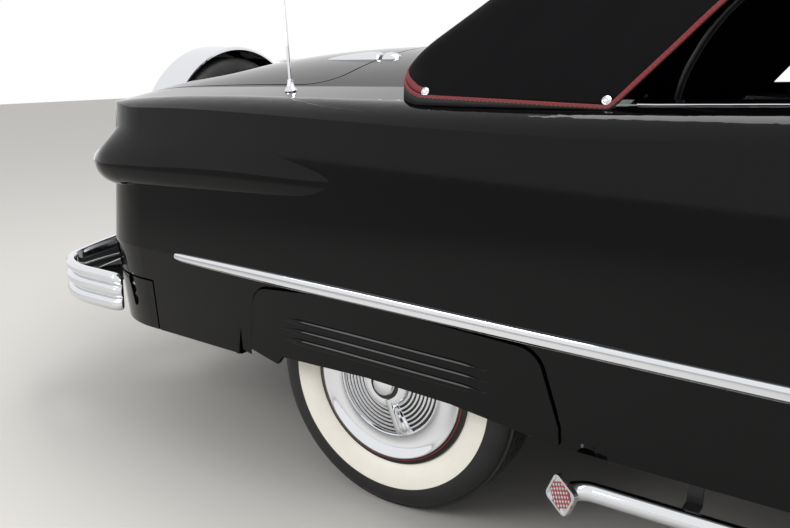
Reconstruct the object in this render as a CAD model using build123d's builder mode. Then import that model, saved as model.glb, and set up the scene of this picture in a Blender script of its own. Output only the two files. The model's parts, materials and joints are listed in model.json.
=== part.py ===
"""A two-door convertible of about 1950 with a spare wheel carried behind the tail.

Millimetres. X points forward, Y left and Z up. The origin is on the ground,
under the middle of the whole length. Stations called s are measured forward
from the rear axle and become row positions by adding axle_r.
"""
from build123d import *
from math import atan2, cos, degrees, radians, sin, tan
import os

os.makedirs("parts", exist_ok=True)

# Driving sizes
wheelbase = 2896
front_overhang = 860
rear_overhang = 1400
track = 1422
body_half = 910
sill_z = 345
wide_z = 585
roof_z = 1575
tyre_r = 340
tyre_width = 168
rim_r = 204
panel = 25
seam = 6

axle_r = rear_overhang - (wheelbase + front_overhang + rear_overhang) / 2
axle_f = axle_r + wheelbase
hub_z = tyre_r
wheel_y = track / 2

# Body ends and half widths there
tail_s = -1085
nose_s = wheelbase + front_overhang - 170
tail_half = 868
nose_half = 862
tail_corner_r = 300
nose_corner_r = 220
lean_angle = 3
tuck_angle = 6
shoulder_y = 780
shoulder_r = body_half - 5 - shoulder_y

# Stations where the panels meet
deck_front_s = -306
well_s = 62
door_rear_s = 1003
door_front_s = 2157
cowl_s = 2360
cowl_y = 600
trim_y = 745
deck_half = 628
lid_low_z = 742
splash_s = -735
splash_z = 492
grille_panel_half = 575
grille_panel_z = 790

# Crown of the body: station, half width of the valley, heights of the valley,
# of the shoulder and of the middle
crown = (
    (-1180, 540, 760, 742, 775),
    (-1085, 575, 905, 880, 940),
    (-1035, 600, 968, 940, 1022),
    (-930, 625, 1000, 974, 1062),
    (-760, 640, 1014, 994, 1098),
    (-350, 640, 1034, 1014, 1142),
    (500, 640, 1068, 1040, 1150),
    (2050, 640, 1070, 1050, 1142),
    (2500, 600, 1000, 985, 1118),
    (3000, 550, 966, 962, 1082),
    (3420, 500, 930, 930, 1020),
    (3640, 470, 862, 870, 930),
)


def at(s):
    """Row position of a station."""
    return axle_r + s


def block(s0, s1, y0, y1, z0, z1):
    """Box between two stations, two sides and two heights."""
    with BuildPart() as made:
        with Locations(((at(s0) + at(s1)) / 2, (y0 + y1) / 2, (z0 + z1) / 2)):
            Box(abs(s1 - s0), abs(y1 - y0), abs(z1 - z0))
    return made.part


def outline_sketch(points, grow, corner_r, rounded):
    """Closed outline of stations and heights or sides; the corners named in rounded get a radius."""
    with BuildLine(Plane.XY) as outline:
        Polyline(*[(at(s), v) for s, v in points], close=True)
    face = make_face(outline.edges())
    if rounded:
        places = [Vector(at(points[i][0]), points[i][1]) for i in rounded]
        fillet([v for v in face.vertices() if min((Vector(v.X, v.Y) - p).length for p in places) < 1], corner_r)
    if grow:
        offset(amount=grow, kind=Kind.ARC if rounded else Kind.INTERSECTION)


def side_prism(points, y0, y1, grow=0, corner_r=0, rounded=()):
    """Outline of stations and heights, carried across from y0 to y1."""
    with BuildPart() as made:
        with BuildSketch(Plane.XZ.offset(-y1)):
            outline_sketch(points, grow, corner_r, rounded)
        extrude(amount=y1 - y0)
    return made.part


def plan_prism(points, z0, z1, grow=0, corner_r=0, rounded=()):
    """Outline of stations and sides, carried up from z0 to z1."""
    with BuildPart() as made:
        with BuildSketch(Plane.XY.offset(z0)):
            outline_sketch(points, grow, corner_r, rounded)
        extrude(amount=z1 - z0)
    return made.part


def round_bar(s, y, z, radius, length, direction="y"):
    """Cylinder about a point, along one axis."""
    turn = {"x": (0, 90, 0), "y": (90, 0, 0), "z": (0, 0, 0)}[direction]
    with BuildPart() as made:
        with Locations(Location((at(s), y, z), turn)):
            Cylinder(radius, length)
    return made.part


def strut(start, end, radius):
    """Round bar between two points given by station, side and height."""
    a = Vector(at(start[0]), start[1], start[2])
    b = Vector(at(end[0]), end[1], end[2])
    with BuildPart() as made:
        with BuildSketch(Plane(origin=a, z_dir=b - a)):
            Circle(radius)
        extrude(amount=(b - a).length)
    return made.part


def body_form(inset, bottom):
    """Closed outer form of the body, or the same form moved inward."""
    lower_z = min(bottom, sill_z) - 40
    upper_z = 1300
    levels = ((lower_z, (wide_z - lower_z) * tan(radians(tuck_angle))), (wide_z, 0),
              (upper_z, (upper_z - wide_z) * tan(radians(lean_angle))))
    with BuildPart() as sides:
        for z, drawn_in in levels:
            with BuildSketch(Plane.XY.offset(z)):
                less = inset + drawn_in
                middle = at((tail_s + nose_s) / 2 + 200)
                tail, nose = at(tail_s + less), at(nose_s - less)
                tail_y, nose_y, middle_y = tail_half - less, nose_half - less, body_half - less
                with BuildLine():
                    ThreePointArc((tail + 50, -tail_y), (middle, -middle_y), (nose - 90, -nose_y))
                    ThreePointArc((nose - 90, -nose_y), (nose, 0), (nose - 90, nose_y))
                    ThreePointArc((nose - 90, nose_y), (middle, middle_y), (tail + 50, tail_y))
                    ThreePointArc((tail + 50, tail_y), (tail, 0), (tail + 50, -tail_y))
                plan = make_face()
                ends = plan.vertices().group_by(Axis.X)
                fillet(ends[0], tail_corner_r - less)
                fillet(ends[-1], nose_corner_r - less)
        loft(ruled=True)
        floor_cut = Location((0, 0, bottom - 500))
        with Locations(floor_cut):
            Box(8000, 3000, 1000, mode=Mode.SUBTRACT)
    diagonal = shoulder_r * sin(radians(45))
    with BuildPart() as top:
        for s, valley_y, valley_z, shoulder_z, middle_z in crown:
            with BuildSketch(Plane.YZ.offset(at(s))):
                with BuildLine():
                    high = shoulder_z - inset
                    outer = shoulder_y + shoulder_r
                    Polyline((-outer, high - shoulder_r), (-outer, 200), (outer, 200), (outer, high - shoulder_r))
                    ThreePointArc((outer, high - shoulder_r),
                                  (shoulder_y + diagonal, high - shoulder_r + diagonal), (shoulder_y, high))
                    Line((shoulder_y, high), (valley_y, valley_z - inset))
                    ThreePointArc((valley_y, valley_z - inset), (0, middle_z - inset), (-valley_y, valley_z - inset))
                    Line((-valley_y, valley_z - inset), (-shoulder_y, high))
                    ThreePointArc((-shoulder_y, high), (-shoulder_y - diagonal, high - shoulder_r + diagonal),
                                  (-outer, high - shoulder_r))
                make_face()
        loft()
    with BuildPart() as made:
        add(sides.part)
        add(top.part, mode=Mode.INTERSECT)
    return made.part


outer_form = body_form(0, sill_z)
inner_form = body_form(panel, sill_z - 60)


# Regions that part the body, each as an outline of stations and heights or sides
door_outline = ((door_rear_s, 400), (door_rear_s, 1300), (door_front_s, 1300), (door_front_s, 400))
hood_half = ((cowl_s, cowl_y), (cowl_s + 110, cowl_y), (3000, 545), (3420, 490), (3800, 455))
hood_outline = hood_half + tuple((s, -y) for s, y in reversed(hood_half))
deck_outline = ((deck_front_s, deck_half), (-1300, deck_half), (-1300, -deck_half), (deck_front_s, -deck_half))
deck_corner_r = 90
skirt_outline = ((-371, 300), (-371, 380), (-343, 549), (-62, 575), (116, 567), (436, 554), (489, 390), (494, 300))
skirt_corner_r = 62
arch_r = 412


def both_sides(shape):
    """The shape with its mirror image across the middle plane."""
    return [shape, mirror(shape, about=Plane.XZ)]


def keep(base, *limits):
    """What of the base lies inside every limit."""
    with BuildPart() as made:
        add(base)
        for limit in limits:
            add(limit, mode=Mode.INTERSECT)
    return made.part


def cut(base, *cutters):
    """The base less every cutter."""
    with BuildPart() as made:
        add(base)
        for cutter in cutters:
            add(cutter, mode=Mode.SUBTRACT)
    return made.part


def join(*shapes):
    """All the shapes as one solid."""
    with BuildPart() as made:
        for shape in shapes:
            add(shape)
    return made.part


def save(shape, name):
    """Names a node and writes it."""
    shape.label = name
    export_step(shape, "parts/" + name + ".step")
    print(name, len(shape.solids()), round(shape.volume / 1e6, 2), shape.is_valid, flush=True)


# Doors, whole thickness, cut from the form
door_block = side_prism(door_outline, trim_y, 1000, -seam / 2)
door_left = keep(outer_form, door_block)
glass_slot = block(door_rear_s + 60, door_front_s - 220, 800, 812, 990, 1300)
door_left = cut(door_left, glass_slot)
save(door_left, "door_left")
save(mirror(door_left, about=Plane.XZ), "door_right")

# Hood and deck lid, one wall thick
skin = cut(outer_form, inner_form)
hood_block = plan_prism(hood_outline, grille_panel_z + seam / 2, 1300, -seam / 2)
save(keep(skin, hood_block), "hood")
deck_rounds = (0, 3)
skirt_rounds = (2, 5)
lid_block = plan_prism(deck_outline, lid_low_z + seam / 2, 1300, -seam / 2, deck_corner_r, deck_rounds)
save(keep(skin, lid_block), "deck_lid")


def side_y(s, z=wide_z):
    """Half width of the body's side at a station and height."""
    middle = (tail_s + nose_s) / 2 + 200
    reach = nose_s - 90 - middle
    at_wide = body_half - (body_half - tail_half) * ((s - middle) / reach) ** 2
    if z > wide_z:
        return at_wide - (z - wide_z) * sin(radians(3))
    return at_wide - (wide_z - z) * sin(radians(6))


def tub(s, radius, y0, y1, notch_half, notch_z):
    """Wheel housing: a half drum with a disc on its inner end, open to the axle."""
    wall = 10
    outside = round_bar(s, (y0 + y1) / 2, hub_z, radius + wall, y1 - y0)
    hollow = round_bar(s, (y0 + wall + y1) / 2, hub_z, radius, y1 - y0 - wall)
    below = block(s - 600, s + 600, y0 - 10, y1 + 10, -100, hub_z + 8)
    notch = block(s - notch_half, s + notch_half, y0 - 10, y0 + 2 * wall, 0, notch_z)
    return cut(outside, hollow, below, notch)


# Quarter panels with the deck, the tail face, the lamp pods and the wheel housings
rear_solid = keep(outer_form, block(-1400, door_rear_s - seam / 2, -1000, 1000, 200, 1300))
trunk_hollow = keep(inner_form, block(-1400, well_s, -1000, 1000, 100, 1300))
cabin_hollow = block(well_s - 1, door_rear_s + 10, -trim_y, trim_y, 100, 1300)
lid_opening = plan_prism(deck_outline, lid_low_z - seam / 2, 1300, seam / 2, deck_corner_r, deck_rounds)
splash_cut = block(-1400, splash_s + seam / 2, -1000, 1000, 100, splash_z + seam / 2)
pod_rows = ((-998, 795, 35), (-900, 826, 56), (-700, 834, 46), (-450, 840, 34), (-180, 846, 20))
pod_z = 800


def lamp_pod():
    """Tapered bulge that runs forward from the tail lamp."""
    with BuildPart() as made:
        for s, y, radius in pod_rows:
            with BuildSketch(Plane(origin=(at(s), y, pod_z), x_dir=(0, 1, 0), z_dir=(1, 0, 0))):
                Circle(radius)
        loft()
    return cut(made.part, inner_form)


rear_tub = tub(0, arch_r, 546, 872, 90, 440)
skirt_opening = side_prism(skirt_outline, 700, 1000, seam / 2, skirt_corner_r, skirt_rounds)
wheel_room = round_bar(0, 700, hub_z, arch_r, 330)
quarters = cut(rear_solid, trunk_hollow, cabin_hollow, lid_opening, splash_cut)
for shape in both_sides(skirt_opening) + both_sides(wheel_room):
    quarters = cut(quarters, shape)
quarters = join(quarters, *both_sides(rear_tub), *both_sides(lamp_pod()))
quarters = cut(quarters, lid_opening)
save(quarters, "quarter_panels")

# Splash panel below the tail, with a shelf out to the bumper on each side of the spare
splash = keep(skin, block(-1400, splash_s - seam / 2, -1000, 1000, 200, splash_z - seam / 2))
shelf = plan_prism(((-1045, 395), (-1045, 690), (-1228, 690), (-1322, 395)), 398, 406)
bracket_hole = block(-1150, -950, 400, 425, 407, 445)
carrier_hole = block(-1150, -950, -96, 96, 380, 430)
splash = cut(join(splash, *both_sides(shelf)), *both_sides(bracket_hole), carrier_hole)
save(splash, "splash_panel")

# Fender skirts over the rear wheels
skirt_proud = 6
skirt_wall = 14
skirt_shell = cut(outer_form.moved(Location((0, skirt_proud, 0))),
                  outer_form.moved(Location((0, skirt_proud - skirt_wall, 0))))
skirt_lower = side_prism(((-400, 290), (-400, 378), (-368, 372), (-280, 350), (-262, 374), (0, 383), (230, 376),
                          (420, 354), (520, 348), (520, 290)), 700, 1000)
skirt_block = side_prism(skirt_outline, 700, 1000, -seam / 2, skirt_corner_r, skirt_rounds)
skirt_left = cut(keep(skirt_shell, skirt_block), skirt_lower)
rib_rows = (482, 456, 430)
for rib_z in rib_rows:
    rib = strut((-200, side_y(-200, rib_z) + 4, rib_z), (330, side_y(330, rib_z) + 4, rib_z - 4), 8)
    skirt_left = join(skirt_left, rib)
save(skirt_left, "skirt_left")
save(mirror(skirt_left, about=Plane.XZ), "skirt_right")

# Front fenders with lamp buckets and wheel housings
front_arch_r = 405
lamp_y = 700
lamp_z = 745
front_solid = keep(skin, block(door_front_s + seam / 2, nose_s + 50, 0, 1000, 200, 1300))
nose_cut = block(3200, nose_s + 100, -grille_panel_half, grille_panel_half + seam / 2, 100, grille_panel_z + seam / 2)
hood_opening = plan_prism(hood_outline, grille_panel_z - 100, 1300, seam / 2)
cowl_cut = block(door_front_s - 50, cowl_s + 1, -700, cowl_y + seam / 2, 700, 1300)
front_wheel_room = round_bar(wheelbase, 725, hub_z, front_arch_r, 570)
fender = cut(front_solid, nose_cut, hood_opening, cowl_cut, front_wheel_room)
bucket = round_bar(3440, lamp_y, lamp_z, 120, 240, "x")
bucket_hole = round_bar(3560, lamp_y, lamp_z, 100, 160, "x")
fender = join(fender, tub(wheelbase, front_arch_r, 430, 872, 150, 600), bucket)
fender = cut(fender, bucket_hole)
save(fender, "fender_left")
save(mirror(fender, about=Plane.XZ), "fender_right")

# Nose panel with the grille opening
opening_half = 530
opening_low, opening_high = 520, 738
nose = keep(skin, block(3200, nose_s + 100, seam / 2 - grille_panel_half, grille_panel_half - seam / 2,
                        200, grille_panel_z - seam / 2))
with BuildPart() as grille_hole:
    with BuildSketch(Plane.YZ.offset(at(3300))):
        with Locations((0, (opening_low + opening_high) / 2)):
            RectangleRounded(2 * opening_half, opening_high - opening_low, 95)
    extrude(amount=400)
bumper_slot = block(3480, 3720, 325, 350, 395, 475)
save(cut(nose, grille_hole.part, *both_sides(bumper_slot)), "nose_panel")


# Body shell: floor, sills, cowl, pillars and bulkhead
cowl_half = cowl_y - seam / 2
floor_line = ((-1000, 530), (412, 530), (430, 300), (2240, 300), (2345, 560), (2345, 960),
              (2327, 960), (2327, 565), (2228, 318), (448, 318), (430, 548), (-1000, 548))
front_floor = keep(side_prism(floor_line, -742, 742), block(440, 2300, -742, 742, 0, 1300))
toe_board = keep(side_prism(floor_line, -600, 600), block(2240, 2400, -742, 742, 0, 1300))
rear_floor = keep(side_prism(floor_line, -540, 540), block(-1100, 460, -742, 742, 0, 1300))
bulkhead = block(well_s + 3, well_s + 20, -540, 540, 540, 985)
cowl_rear = keep(skin, block(2055, door_front_s, -742, 742, 900, 1300))
cowl_front = keep(skin, block(door_front_s - 1, cowl_s - seam / 2, -cowl_half, cowl_half, 900, 1300))
firewall_top = block(2327, 2345, -600, 600, 900, 1075)
tunnel_hole = block(1960, 2360, -150, 150, 280, 560)
tunnel = cut(block(1960, 2330, -150, 150, 300, 575), block(1900, 2400, -136, 136, 280, 561))
shell = join(front_floor, toe_board, rear_floor, bulkhead, cowl_rear, cowl_front, firewall_top)
shell = join(cut(shell, tunnel_hole), tunnel)
sill = keep(outer_form, block(door_rear_s, door_front_s, 700, 1000, 300, 393))
inner_sill = block(door_rear_s, door_front_s, 700, 742, 300, 393)
kick_panel = keep(inner_form.moved(Location((0, 0, 10))),
                  block(2164, 2345, cowl_half - 22, cowl_half - 2, 300, 1100))
pillar = block(2128, 2151, 590, 742, 300, 1015)
kick_floor = block(2128, 2345, 580, 742, 300, 318)
for part_shape in (sill, inner_sill, kick_panel, pillar, kick_floor):
    shell = join(shell, *both_sides(part_shape))
save(shell, "body_shell")

# Chassis frame: two kicked-up rails, cross members, arms, radiator and spare carrier
rail_end_s = -1000
rail_side = ((rail_end_s, 350), (-500, 350), (-340, 432), (190, 432), (330, 200), (2300, 200), (2520, 280), (3500, 280),
             (3500, 372), (2490, 372), (2250, 290), (400, 290), (200, 520), (-372, 520), (-520, 440), (rail_end_s, 440))
rail_plan = ((rail_end_s, 365), (560, 365), (760, 500), (2250, 500), (2460, 318), (3500, 318),
             (3500, 388), (2480, 388), (2290, 570), (720, 570), (530, 435), (rail_end_s, 435))
rail = keep(side_prism(rail_side, 200, 700), plan_prism(rail_plan, 0, 700))
cross_length = 60
cross_rows = ((rail_end_s + 40, 366, 370, 425), (-560, 366, 372, 425), (150, 366, 450, 505),
              (800, 502, 210, 270), (2150, 502, 210, 270), (3440, 319, 290, 362))
frame = join(*both_sides(rail))
for s, half, low, high in cross_rows:
    frame = join(frame, block(s - cross_length / 2, s + cross_length / 2, -half, half, low, high))
diagonal_plan = ((820, 505), (1500, 60), (2130, 505), (2070, 505), (1500, 130), (880, 505))
for bar in both_sides(plan_prism(diagonal_plan, 234, 286)):
    frame = join(frame, bar)
arm_y = 560
cross_member = block(wheelbase - 70, wheelbase + 70, -400, 400, 215, 300)
frame = join(frame, cross_member)
for side in (-1, 1):
    for fore in (-1, 1):
        frame = join(frame, strut((wheelbase + fore * 150, side * 330, 290), (wheelbase, side * arm_y, 235), 16),
                     strut((wheelbase + fore * 90, side * 375, 400), (wheelbase, side * (arm_y - 8), 480), 13))
    tower = block(wheelbase - 105, wheelbase + 105, min(side * 340, side * 388), max(side * 340, side * 388), 350, 425)
    bracket = block(3490, 3685, min(side * 330, side * 345), max(side * 330, side * 345), 400, 470)
    bracket_foot = block(3440, 3500, min(side * 330, side * 345), max(side * 330, side * 345), 340, 470)
    rear_bracket = block(-1316, -980, min(side * 405, side * 420), max(side * 405, side * 420), 412, 440)
    frame = join(frame, tower, bracket, bracket_foot, rear_bracket)
radiator = block(3345, 3425, -300, 300, 350, 900)
spare_z = 751
spare_front_s = -1200
spare_width = 138
carrier_post = block(-1180, -1150, -90, 90, 385, spare_z + 70)
carrier_foot = block(-1180, -965, -90, 90, 385, 425)
carrier_stub = round_bar(-1192, 0, spare_z, 60, 30, "x")
frame = join(frame, radiator, carrier_post, carrier_foot, carrier_stub)
save(frame, "frame")

# Engine and gearbox block
engine = join(block(2440, 3180, -210, 210, 395, 900), block(2445, 3000, -130, 130, 310, 420),
              block(1990, 2445, -120, 120, 325, 520))
save(engine, "engine")

# Rear axle with its drive shaft and leaf springs
axle_tube = round_bar(0, 0, hub_z, 38, 2 * (wheel_y - 95))
with BuildPart() as differential:
    with Locations((at(0), 0, hub_z)):
        Sphere(140)
shaft = strut((-60, 0, hub_z), (560, 0, 242), 34)
with BuildPart() as spring:
    with BuildSketch(Plane.XZ.offset(-520)):
        with BuildLine():
            ThreePointArc((at(-620), 330), (at(0), 244), (at(560), 250))
            Line((at(560), 250), (at(560), 268))
            ThreePointArc((at(560), 268), (at(0), 284), (at(-620), 348))
            Line((at(-620), 348), (at(-620), 330))
        make_face()
    extrude(amount=50)
pad = block(-60, 60, 470, 520, 280, 320)
rear_axle = join(axle_tube, differential.part, shaft)
for shape in both_sides(spring.part) + both_sides(pad):
    rear_axle = join(rear_axle, shape)
for y in (-665, 665):
    rear_axle = join(rear_axle, round_bar(0, y, hub_z, 138, 100))
save(rear_axle, "rear_axle")

# Fuel tank and exhaust
with BuildPart() as tank:
    with Locations((at(-740), 0, 285)):
        Box(420, 620, 120)
    fillet(tank.edges().filter_by(Axis.Y), 40)
save(tank.part, "fuel_tank")
exhaust = join(round_bar(1450, -250, 170, 55, 560, "x"), strut((2380, -250, 170), (1700, -250, 170), 24),
               strut((1200, -250, 170), (560, -250, 170), 24), strut((580, -250, 170), (330, -250, 240), 24))
save(exhaust, "exhaust")

# Dash with the steering column
column_y = 360
wheel_centre = (1700, column_y, 905)
column_lean = 28
lean = (cos(radians(column_lean)), 0, -sin(radians(column_lean)))


def along(distance):
    """Point on the steering column, measured forward from the steering wheel."""
    return (wheel_centre[0] + lean[0] * distance, column_y, wheel_centre[2] + lean[2] * distance)


dash_profile = ((2048, 760), (2048, 1030), (2010, 1040), (1985, 1000), (1995, 820), (2030, 760))
dash = keep(side_prism(dash_profile, -738, 738))
column_bracket = block(1992, 2040, column_y - 30, column_y + 30, 720, 830)
dash = join(dash, strut(along(40), along(560), 24), column_bracket)
save(dash, "dash")
rim_radius = 218
with BuildPart() as steering_wheel:
    plane = Plane(origin=Vector(at(wheel_centre[0]), column_y, wheel_centre[2]), z_dir=Vector(*lean))
    with BuildSketch(plane):
        Circle(42)
    extrude(amount=30)
    with BuildSketch(plane):
        Rectangle(24, 2 * rim_radius - 10)
        Rectangle(2 * rim_radius - 10, 24)
    extrude(amount=10)
    with BuildSketch(Plane(origin=plane.origin + plane.x_dir * rim_radius, x_dir=plane.x_dir, z_dir=plane.y_dir)):
        Circle(11)
    revolve(axis=Axis(plane.origin, plane.z_dir))
save(steering_wheel.part, "steering_wheel")


def cushion(outline, half):
    """Seat part with its long edges rounded."""
    with BuildPart() as made:
        add(side_prism(outline, -half, half))
        fillet(made.edges().filter_by(Axis.Y), 28)
    return made.part


front_seat = join(cushion(((1110, 320), (1110, 560), (1640, 620), (1660, 540), (1610, 330)), 640),
                  cushion(((1060, 420), (925, 1010), (1010, 1030), (1060, 1000), (1190, 540), (1190, 420)), 640))
save(front_seat, "seat_front")
rear_seat = join(cushion(((250, 560), (250, 640), (700, 690), (730, 640), (700, 562)), 520),
                 cushion(((150, 560), (95, 960), (180, 985), (330, 640), (330, 560)), 520),
                 block(462, 680, -520, 520, 322, 600))
save(rear_seat, "seat_rear")


# Windshield in two flat halves that meet in a shallow vee
low_middle = Vector(at(2275), 0, 1125)
low_outer = Vector(at(2125), 700, 1062)
high_middle = Vector(at(1872), 0, 1500)
high_outer = Vector(at(1792), 600, 1462)
pane_plane = Plane(origin=low_middle, x_dir=low_outer - low_middle,
                   z_dir=(low_outer - low_middle).cross(high_middle - low_middle))
raised_form = outer_form.moved(Location((0, 0, 1)))


def pane(outer_inset, inner_inset, thickness):
    """Windshield half: an outline drawn in, with an opening where one is asked for."""
    corners = [pane_plane.to_local_coords(v) for v in (low_middle, low_outer, high_outer, high_middle)]
    with BuildPart() as made:
        with BuildSketch(pane_plane.offset(-thickness / 2)):
            with BuildLine():
                Polyline(*[(v.X, v.Y) for v in corners], close=True)
            make_face()
            if outer_inset:
                offset(amount=-outer_inset, kind=Kind.INTERSECTION)
        extrude(amount=thickness)
        if inner_inset:
            with BuildSketch(pane_plane.offset(-thickness)):
                with BuildLine():
                    Polyline(*[(v.X, v.Y) for v in corners], close=True)
                make_face()
                offset(amount=-inner_inset, kind=Kind.INTERSECTION)
            extrude(amount=2 * thickness, mode=Mode.SUBTRACT)
    return keep(made.part, block(1500, 2500, 0, 1000, 900, 1700))


frame_half = cut(pane(0, 30, 26), raised_form)
save(join(*both_sides(frame_half)), "windshield_frame")
glass_half = cut(pane(31, 0, 6), raised_form)
save(join(*both_sides(glass_half)), "windshield_glass")


# Vent windows on the doors: a slim frame about a small pane, ahead of the wound-down glass
vent_low_front = Vector(at(2088), 790, 1072)
vent_low_rear = Vector(at(1806), 800, 1076)
vent_high = Vector(at(1806), 694, 1398)
vent_plane = Plane(origin=vent_low_rear, x_dir=vent_low_front - vent_low_rear,
                   z_dir=(vent_low_front - vent_low_rear).cross(vent_high - vent_low_rear))
vent_bar = 14


def vent_outline():
    """Triangle of the vent window in its own plane."""
    corners = [vent_plane.to_local_coords(v) for v in (vent_low_front, vent_low_rear, vent_high)]
    with BuildLine(Plane.XY) as outline:
        Polyline(*[(v.X, v.Y) for v in corners], close=True)
    make_face(outline.edges())


with BuildPart() as vent:
    with BuildSketch(vent_plane.offset(-vent_bar / 2)) as vent_face:
        vent_outline()
        fillet(vent_face.vertices().sort_by(Axis.X)[-1:], 12)
    extrude(amount=vent_bar)
    with BuildSketch(vent_plane.offset(-vent_bar / 2)):
        vent_outline()
        offset(amount=-vent_bar, kind=Kind.INTERSECTION)
    extrude(amount=vent_bar / 2 - 2, mode=Mode.SUBTRACT)
    with BuildSketch(vent_plane.offset(2)):
        vent_outline()
        offset(amount=-vent_bar, kind=Kind.INTERSECTION)
    extrude(amount=vent_bar, mode=Mode.SUBTRACT)
vent_foot = block(1800, 2080, 788, 806, 1040, 1082)
vent_window = cut(join(vent.part, cut(vent_foot, raised_form)), raised_form)
save(vent_window, "vent_window_left")
save(mirror(vent_window, about=Plane.XZ), "vent_window_right")


def top_form(inset):
    """Closed form of the raised soft top, or the same form moved inward."""
    with BuildPart() as made:
        with BuildSketch(Plane.XZ.offset(-1000)):
            with BuildLine():
                Polyline((at(400), 1392), (at(28), 1095), (at(28), 900), (at(1900), 900), (at(1900), 1494))
                ThreePointArc((at(1900), 1494), (at(1550), 1556), (at(1200), roof_z))
                ThreePointArc((at(1200), roof_z), (at(760), 1543), (at(400), 1392))
            make_face()
            if inset:
                offset(amount=-inset, kind=Kind.ARC)
        extrude(amount=2000)
        with BuildSketch(Plane.YZ.offset(at(-200))) as across:
            with BuildLine():
                Polyline((-672, 1400), (-812, 1060), (-812, 800), (812, 800), (812, 1060), (672, 1400))
                ThreePointArc((672, 1400), (628, 1472), (540, 1522))
                ThreePointArc((540, 1522), (0, roof_z + 5), (-540, 1522))
                ThreePointArc((-540, 1522), (-628, 1472), (-672, 1400))
            make_face()
            if inset:
                offset(amount=-inset, kind=Kind.ARC)
        extrude(amount=2400, mode=Mode.INTERSECT)
    return made.part


def windshield_room():
    """Everything ahead of the windshield's rear face, on the left."""
    with BuildPart() as made:
        with BuildSketch(pane_plane.offset(-15)):
            Rectangle(3000, 3000)
        extrude(amount=700)
    return keep(made.part, block(1000, 3000, 0, 1500, 900, 2000))


top_wall = 12
side_windows = side_prism(((300, 850), (530, 1010), (705, 1236), (850, 1376), (960, 1425), (1500, 1440),
                           (1900, 1420), (1900, 850)), -1000, 1000)
slope_plane = Plane(origin=(at(222), 0, 1250), x_dir=(0, 1, 0), z_dir=(-297, 0, 372))


def rear_pane(width, height, thickness):
    """Rounded plate in the slope of the top."""
    with BuildPart() as made:
        with BuildSketch(slope_plane.offset(-thickness / 2)):
            RectangleRounded(width, height, 60)
        extrude(amount=thickness)
    return made.part


soft_top = cut(top_form(0), top_form(top_wall), side_windows, raised_form, rear_pane(700, 236, 80),
               *both_sides(windshield_room()), block(1885, 1950, -1000, 1000, 800, 1700))
save(soft_top, "soft_top")
save(rear_pane(694, 230, 5), "rear_window")

# Bumpers: a ribbed blade carried along a bowed line with rounded ends
blade_height = 123
blade_z = 414
front_blade_y = 894
front_blade_end_s = 3165
rear_blade_y = 863
rear_blade_end_s = -885


def bumper_line(end_s, front_s, blade_y, sign):
    """Half of the blade's line, from the side end round to the middle."""
    corner, bow = 230, 24
    corner_turn = 90 - bow
    inner_y = blade_y - corner * (1 - cos(radians(corner_turn)))
    bow_r = inner_y / sin(radians(bow))
    reach = corner * sin(radians(corner_turn)) + bow_r * (1 - cos(radians(bow)))
    start = Vector(at(front_s) - sign * reach, -blade_y)
    with BuildLine() as made:
        Line((at(end_s), -blade_y), start)
        JernArc(start=start, tangent=(sign, 0), radius=corner, arc_size=sign * corner_turn)
        JernArc(start=made.line @ 1, tangent=made.line % 1, radius=bow_r, arc_size=sign * bow)
    return made.line


def bumper(end_s, front_s, blade_y, sign):
    """Blade with its lips and three ribs."""
    half = bumper_line(end_s, front_s, blade_y, sign)
    full = Wire(half.edges() + mirror(half, about=Plane.XZ).edges())
    begin = Plane(origin=full @ 0, z_dir=full % 0)
    with BuildPart() as made:
        with BuildSketch(Plane(origin=(full @ 0) + Vector(0, 0, blade_z), x_dir=(0, 0, 1), z_dir=full % 0)):
            Rectangle(blade_height, 12)
            for height in (-34, 0, 34):
                with Locations((height, -6)):
                    Circle(9)
        sweep(path=full.moved(Location((0, 0, blade_z))))
    return made.part


def guard(s, y, depth):
    """Upright over-rider with a rounded head."""
    with BuildPart() as made:
        add(block(s - depth / 2, s + depth / 2, y - 32, y + 32, 340, 535))
        fillet(made.edges(), 20)
    return made.part


blade_depth = 15
front_line_s = wheelbase + front_overhang - blade_depth
rear_line_s = blade_depth - rear_overhang
front_bumper = bumper(front_blade_end_s, front_line_s, front_blade_y, 1)
plate_spacing, plate_hole_r = 178, 3.5
plate_hole = round_bar(front_line_s, plate_spacing / 2, blade_z + 17, plate_hole_r, 120, "x")
front_bumper = cut(front_bumper, *both_sides(plate_hole))
save(join(front_bumper, *both_sides(guard(front_line_s - 22, 330, 60))), "bumper_front")
rear_bumper = bumper(rear_blade_end_s, rear_line_s, rear_blade_y, -1)
save(join(rear_bumper, *both_sides(guard(rear_line_s + 25, 470, 60))), "bumper_rear")


def turned(points, s, y, z, direction="y"):
    """Solid of revolution: an outline of offset along the axis and radius."""
    with BuildPart() as made:
        with BuildSketch(Plane.XY):
            with BuildLine():
                Polyline(*points, close=True)
            make_face()
        revolve(axis=Axis.X)
    turn = {"x": (0, 0, 0), "-x": (0, 0, 180), "y": (0, 0, 90), "-y": (0, 0, -90)}[direction]
    return made.part.moved(Location((at(s), y, z), turn))


# Grille: one long bar with a bullet in the middle and a lamp at each end
grille_z = (opening_low + opening_high) / 2
grille_s = nose_s - 62
bar = round_bar(grille_s, 0, grille_z, 26, 2 * opening_half - 20)
bullet = turned(((-60, 0), (-60, 78), (0, 84), (28, 66), (52, 36), (62, 0)), grille_s, 0, grille_z, "x")
grille = join(bar, bullet)
for y in (-430, 430):
    lamp = turned(((-50, 0), (-50, 44), (10, 50), (30, 38), (36, 0)), grille_s, y, grille_z, "x")
    grille = join(grille, lamp)
for z in (opening_low + 28, opening_high - 28):
    grille = join(grille, round_bar(grille_s - 20, 0, z, 9, 2 * opening_half - 120))
for y in (-260, 0, 260):
    grille = join(grille, block(grille_s - 30, grille_s - 10, y - 8, y + 8, opening_low + 20, opening_high - 20))
save(grille, "grille")

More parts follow.
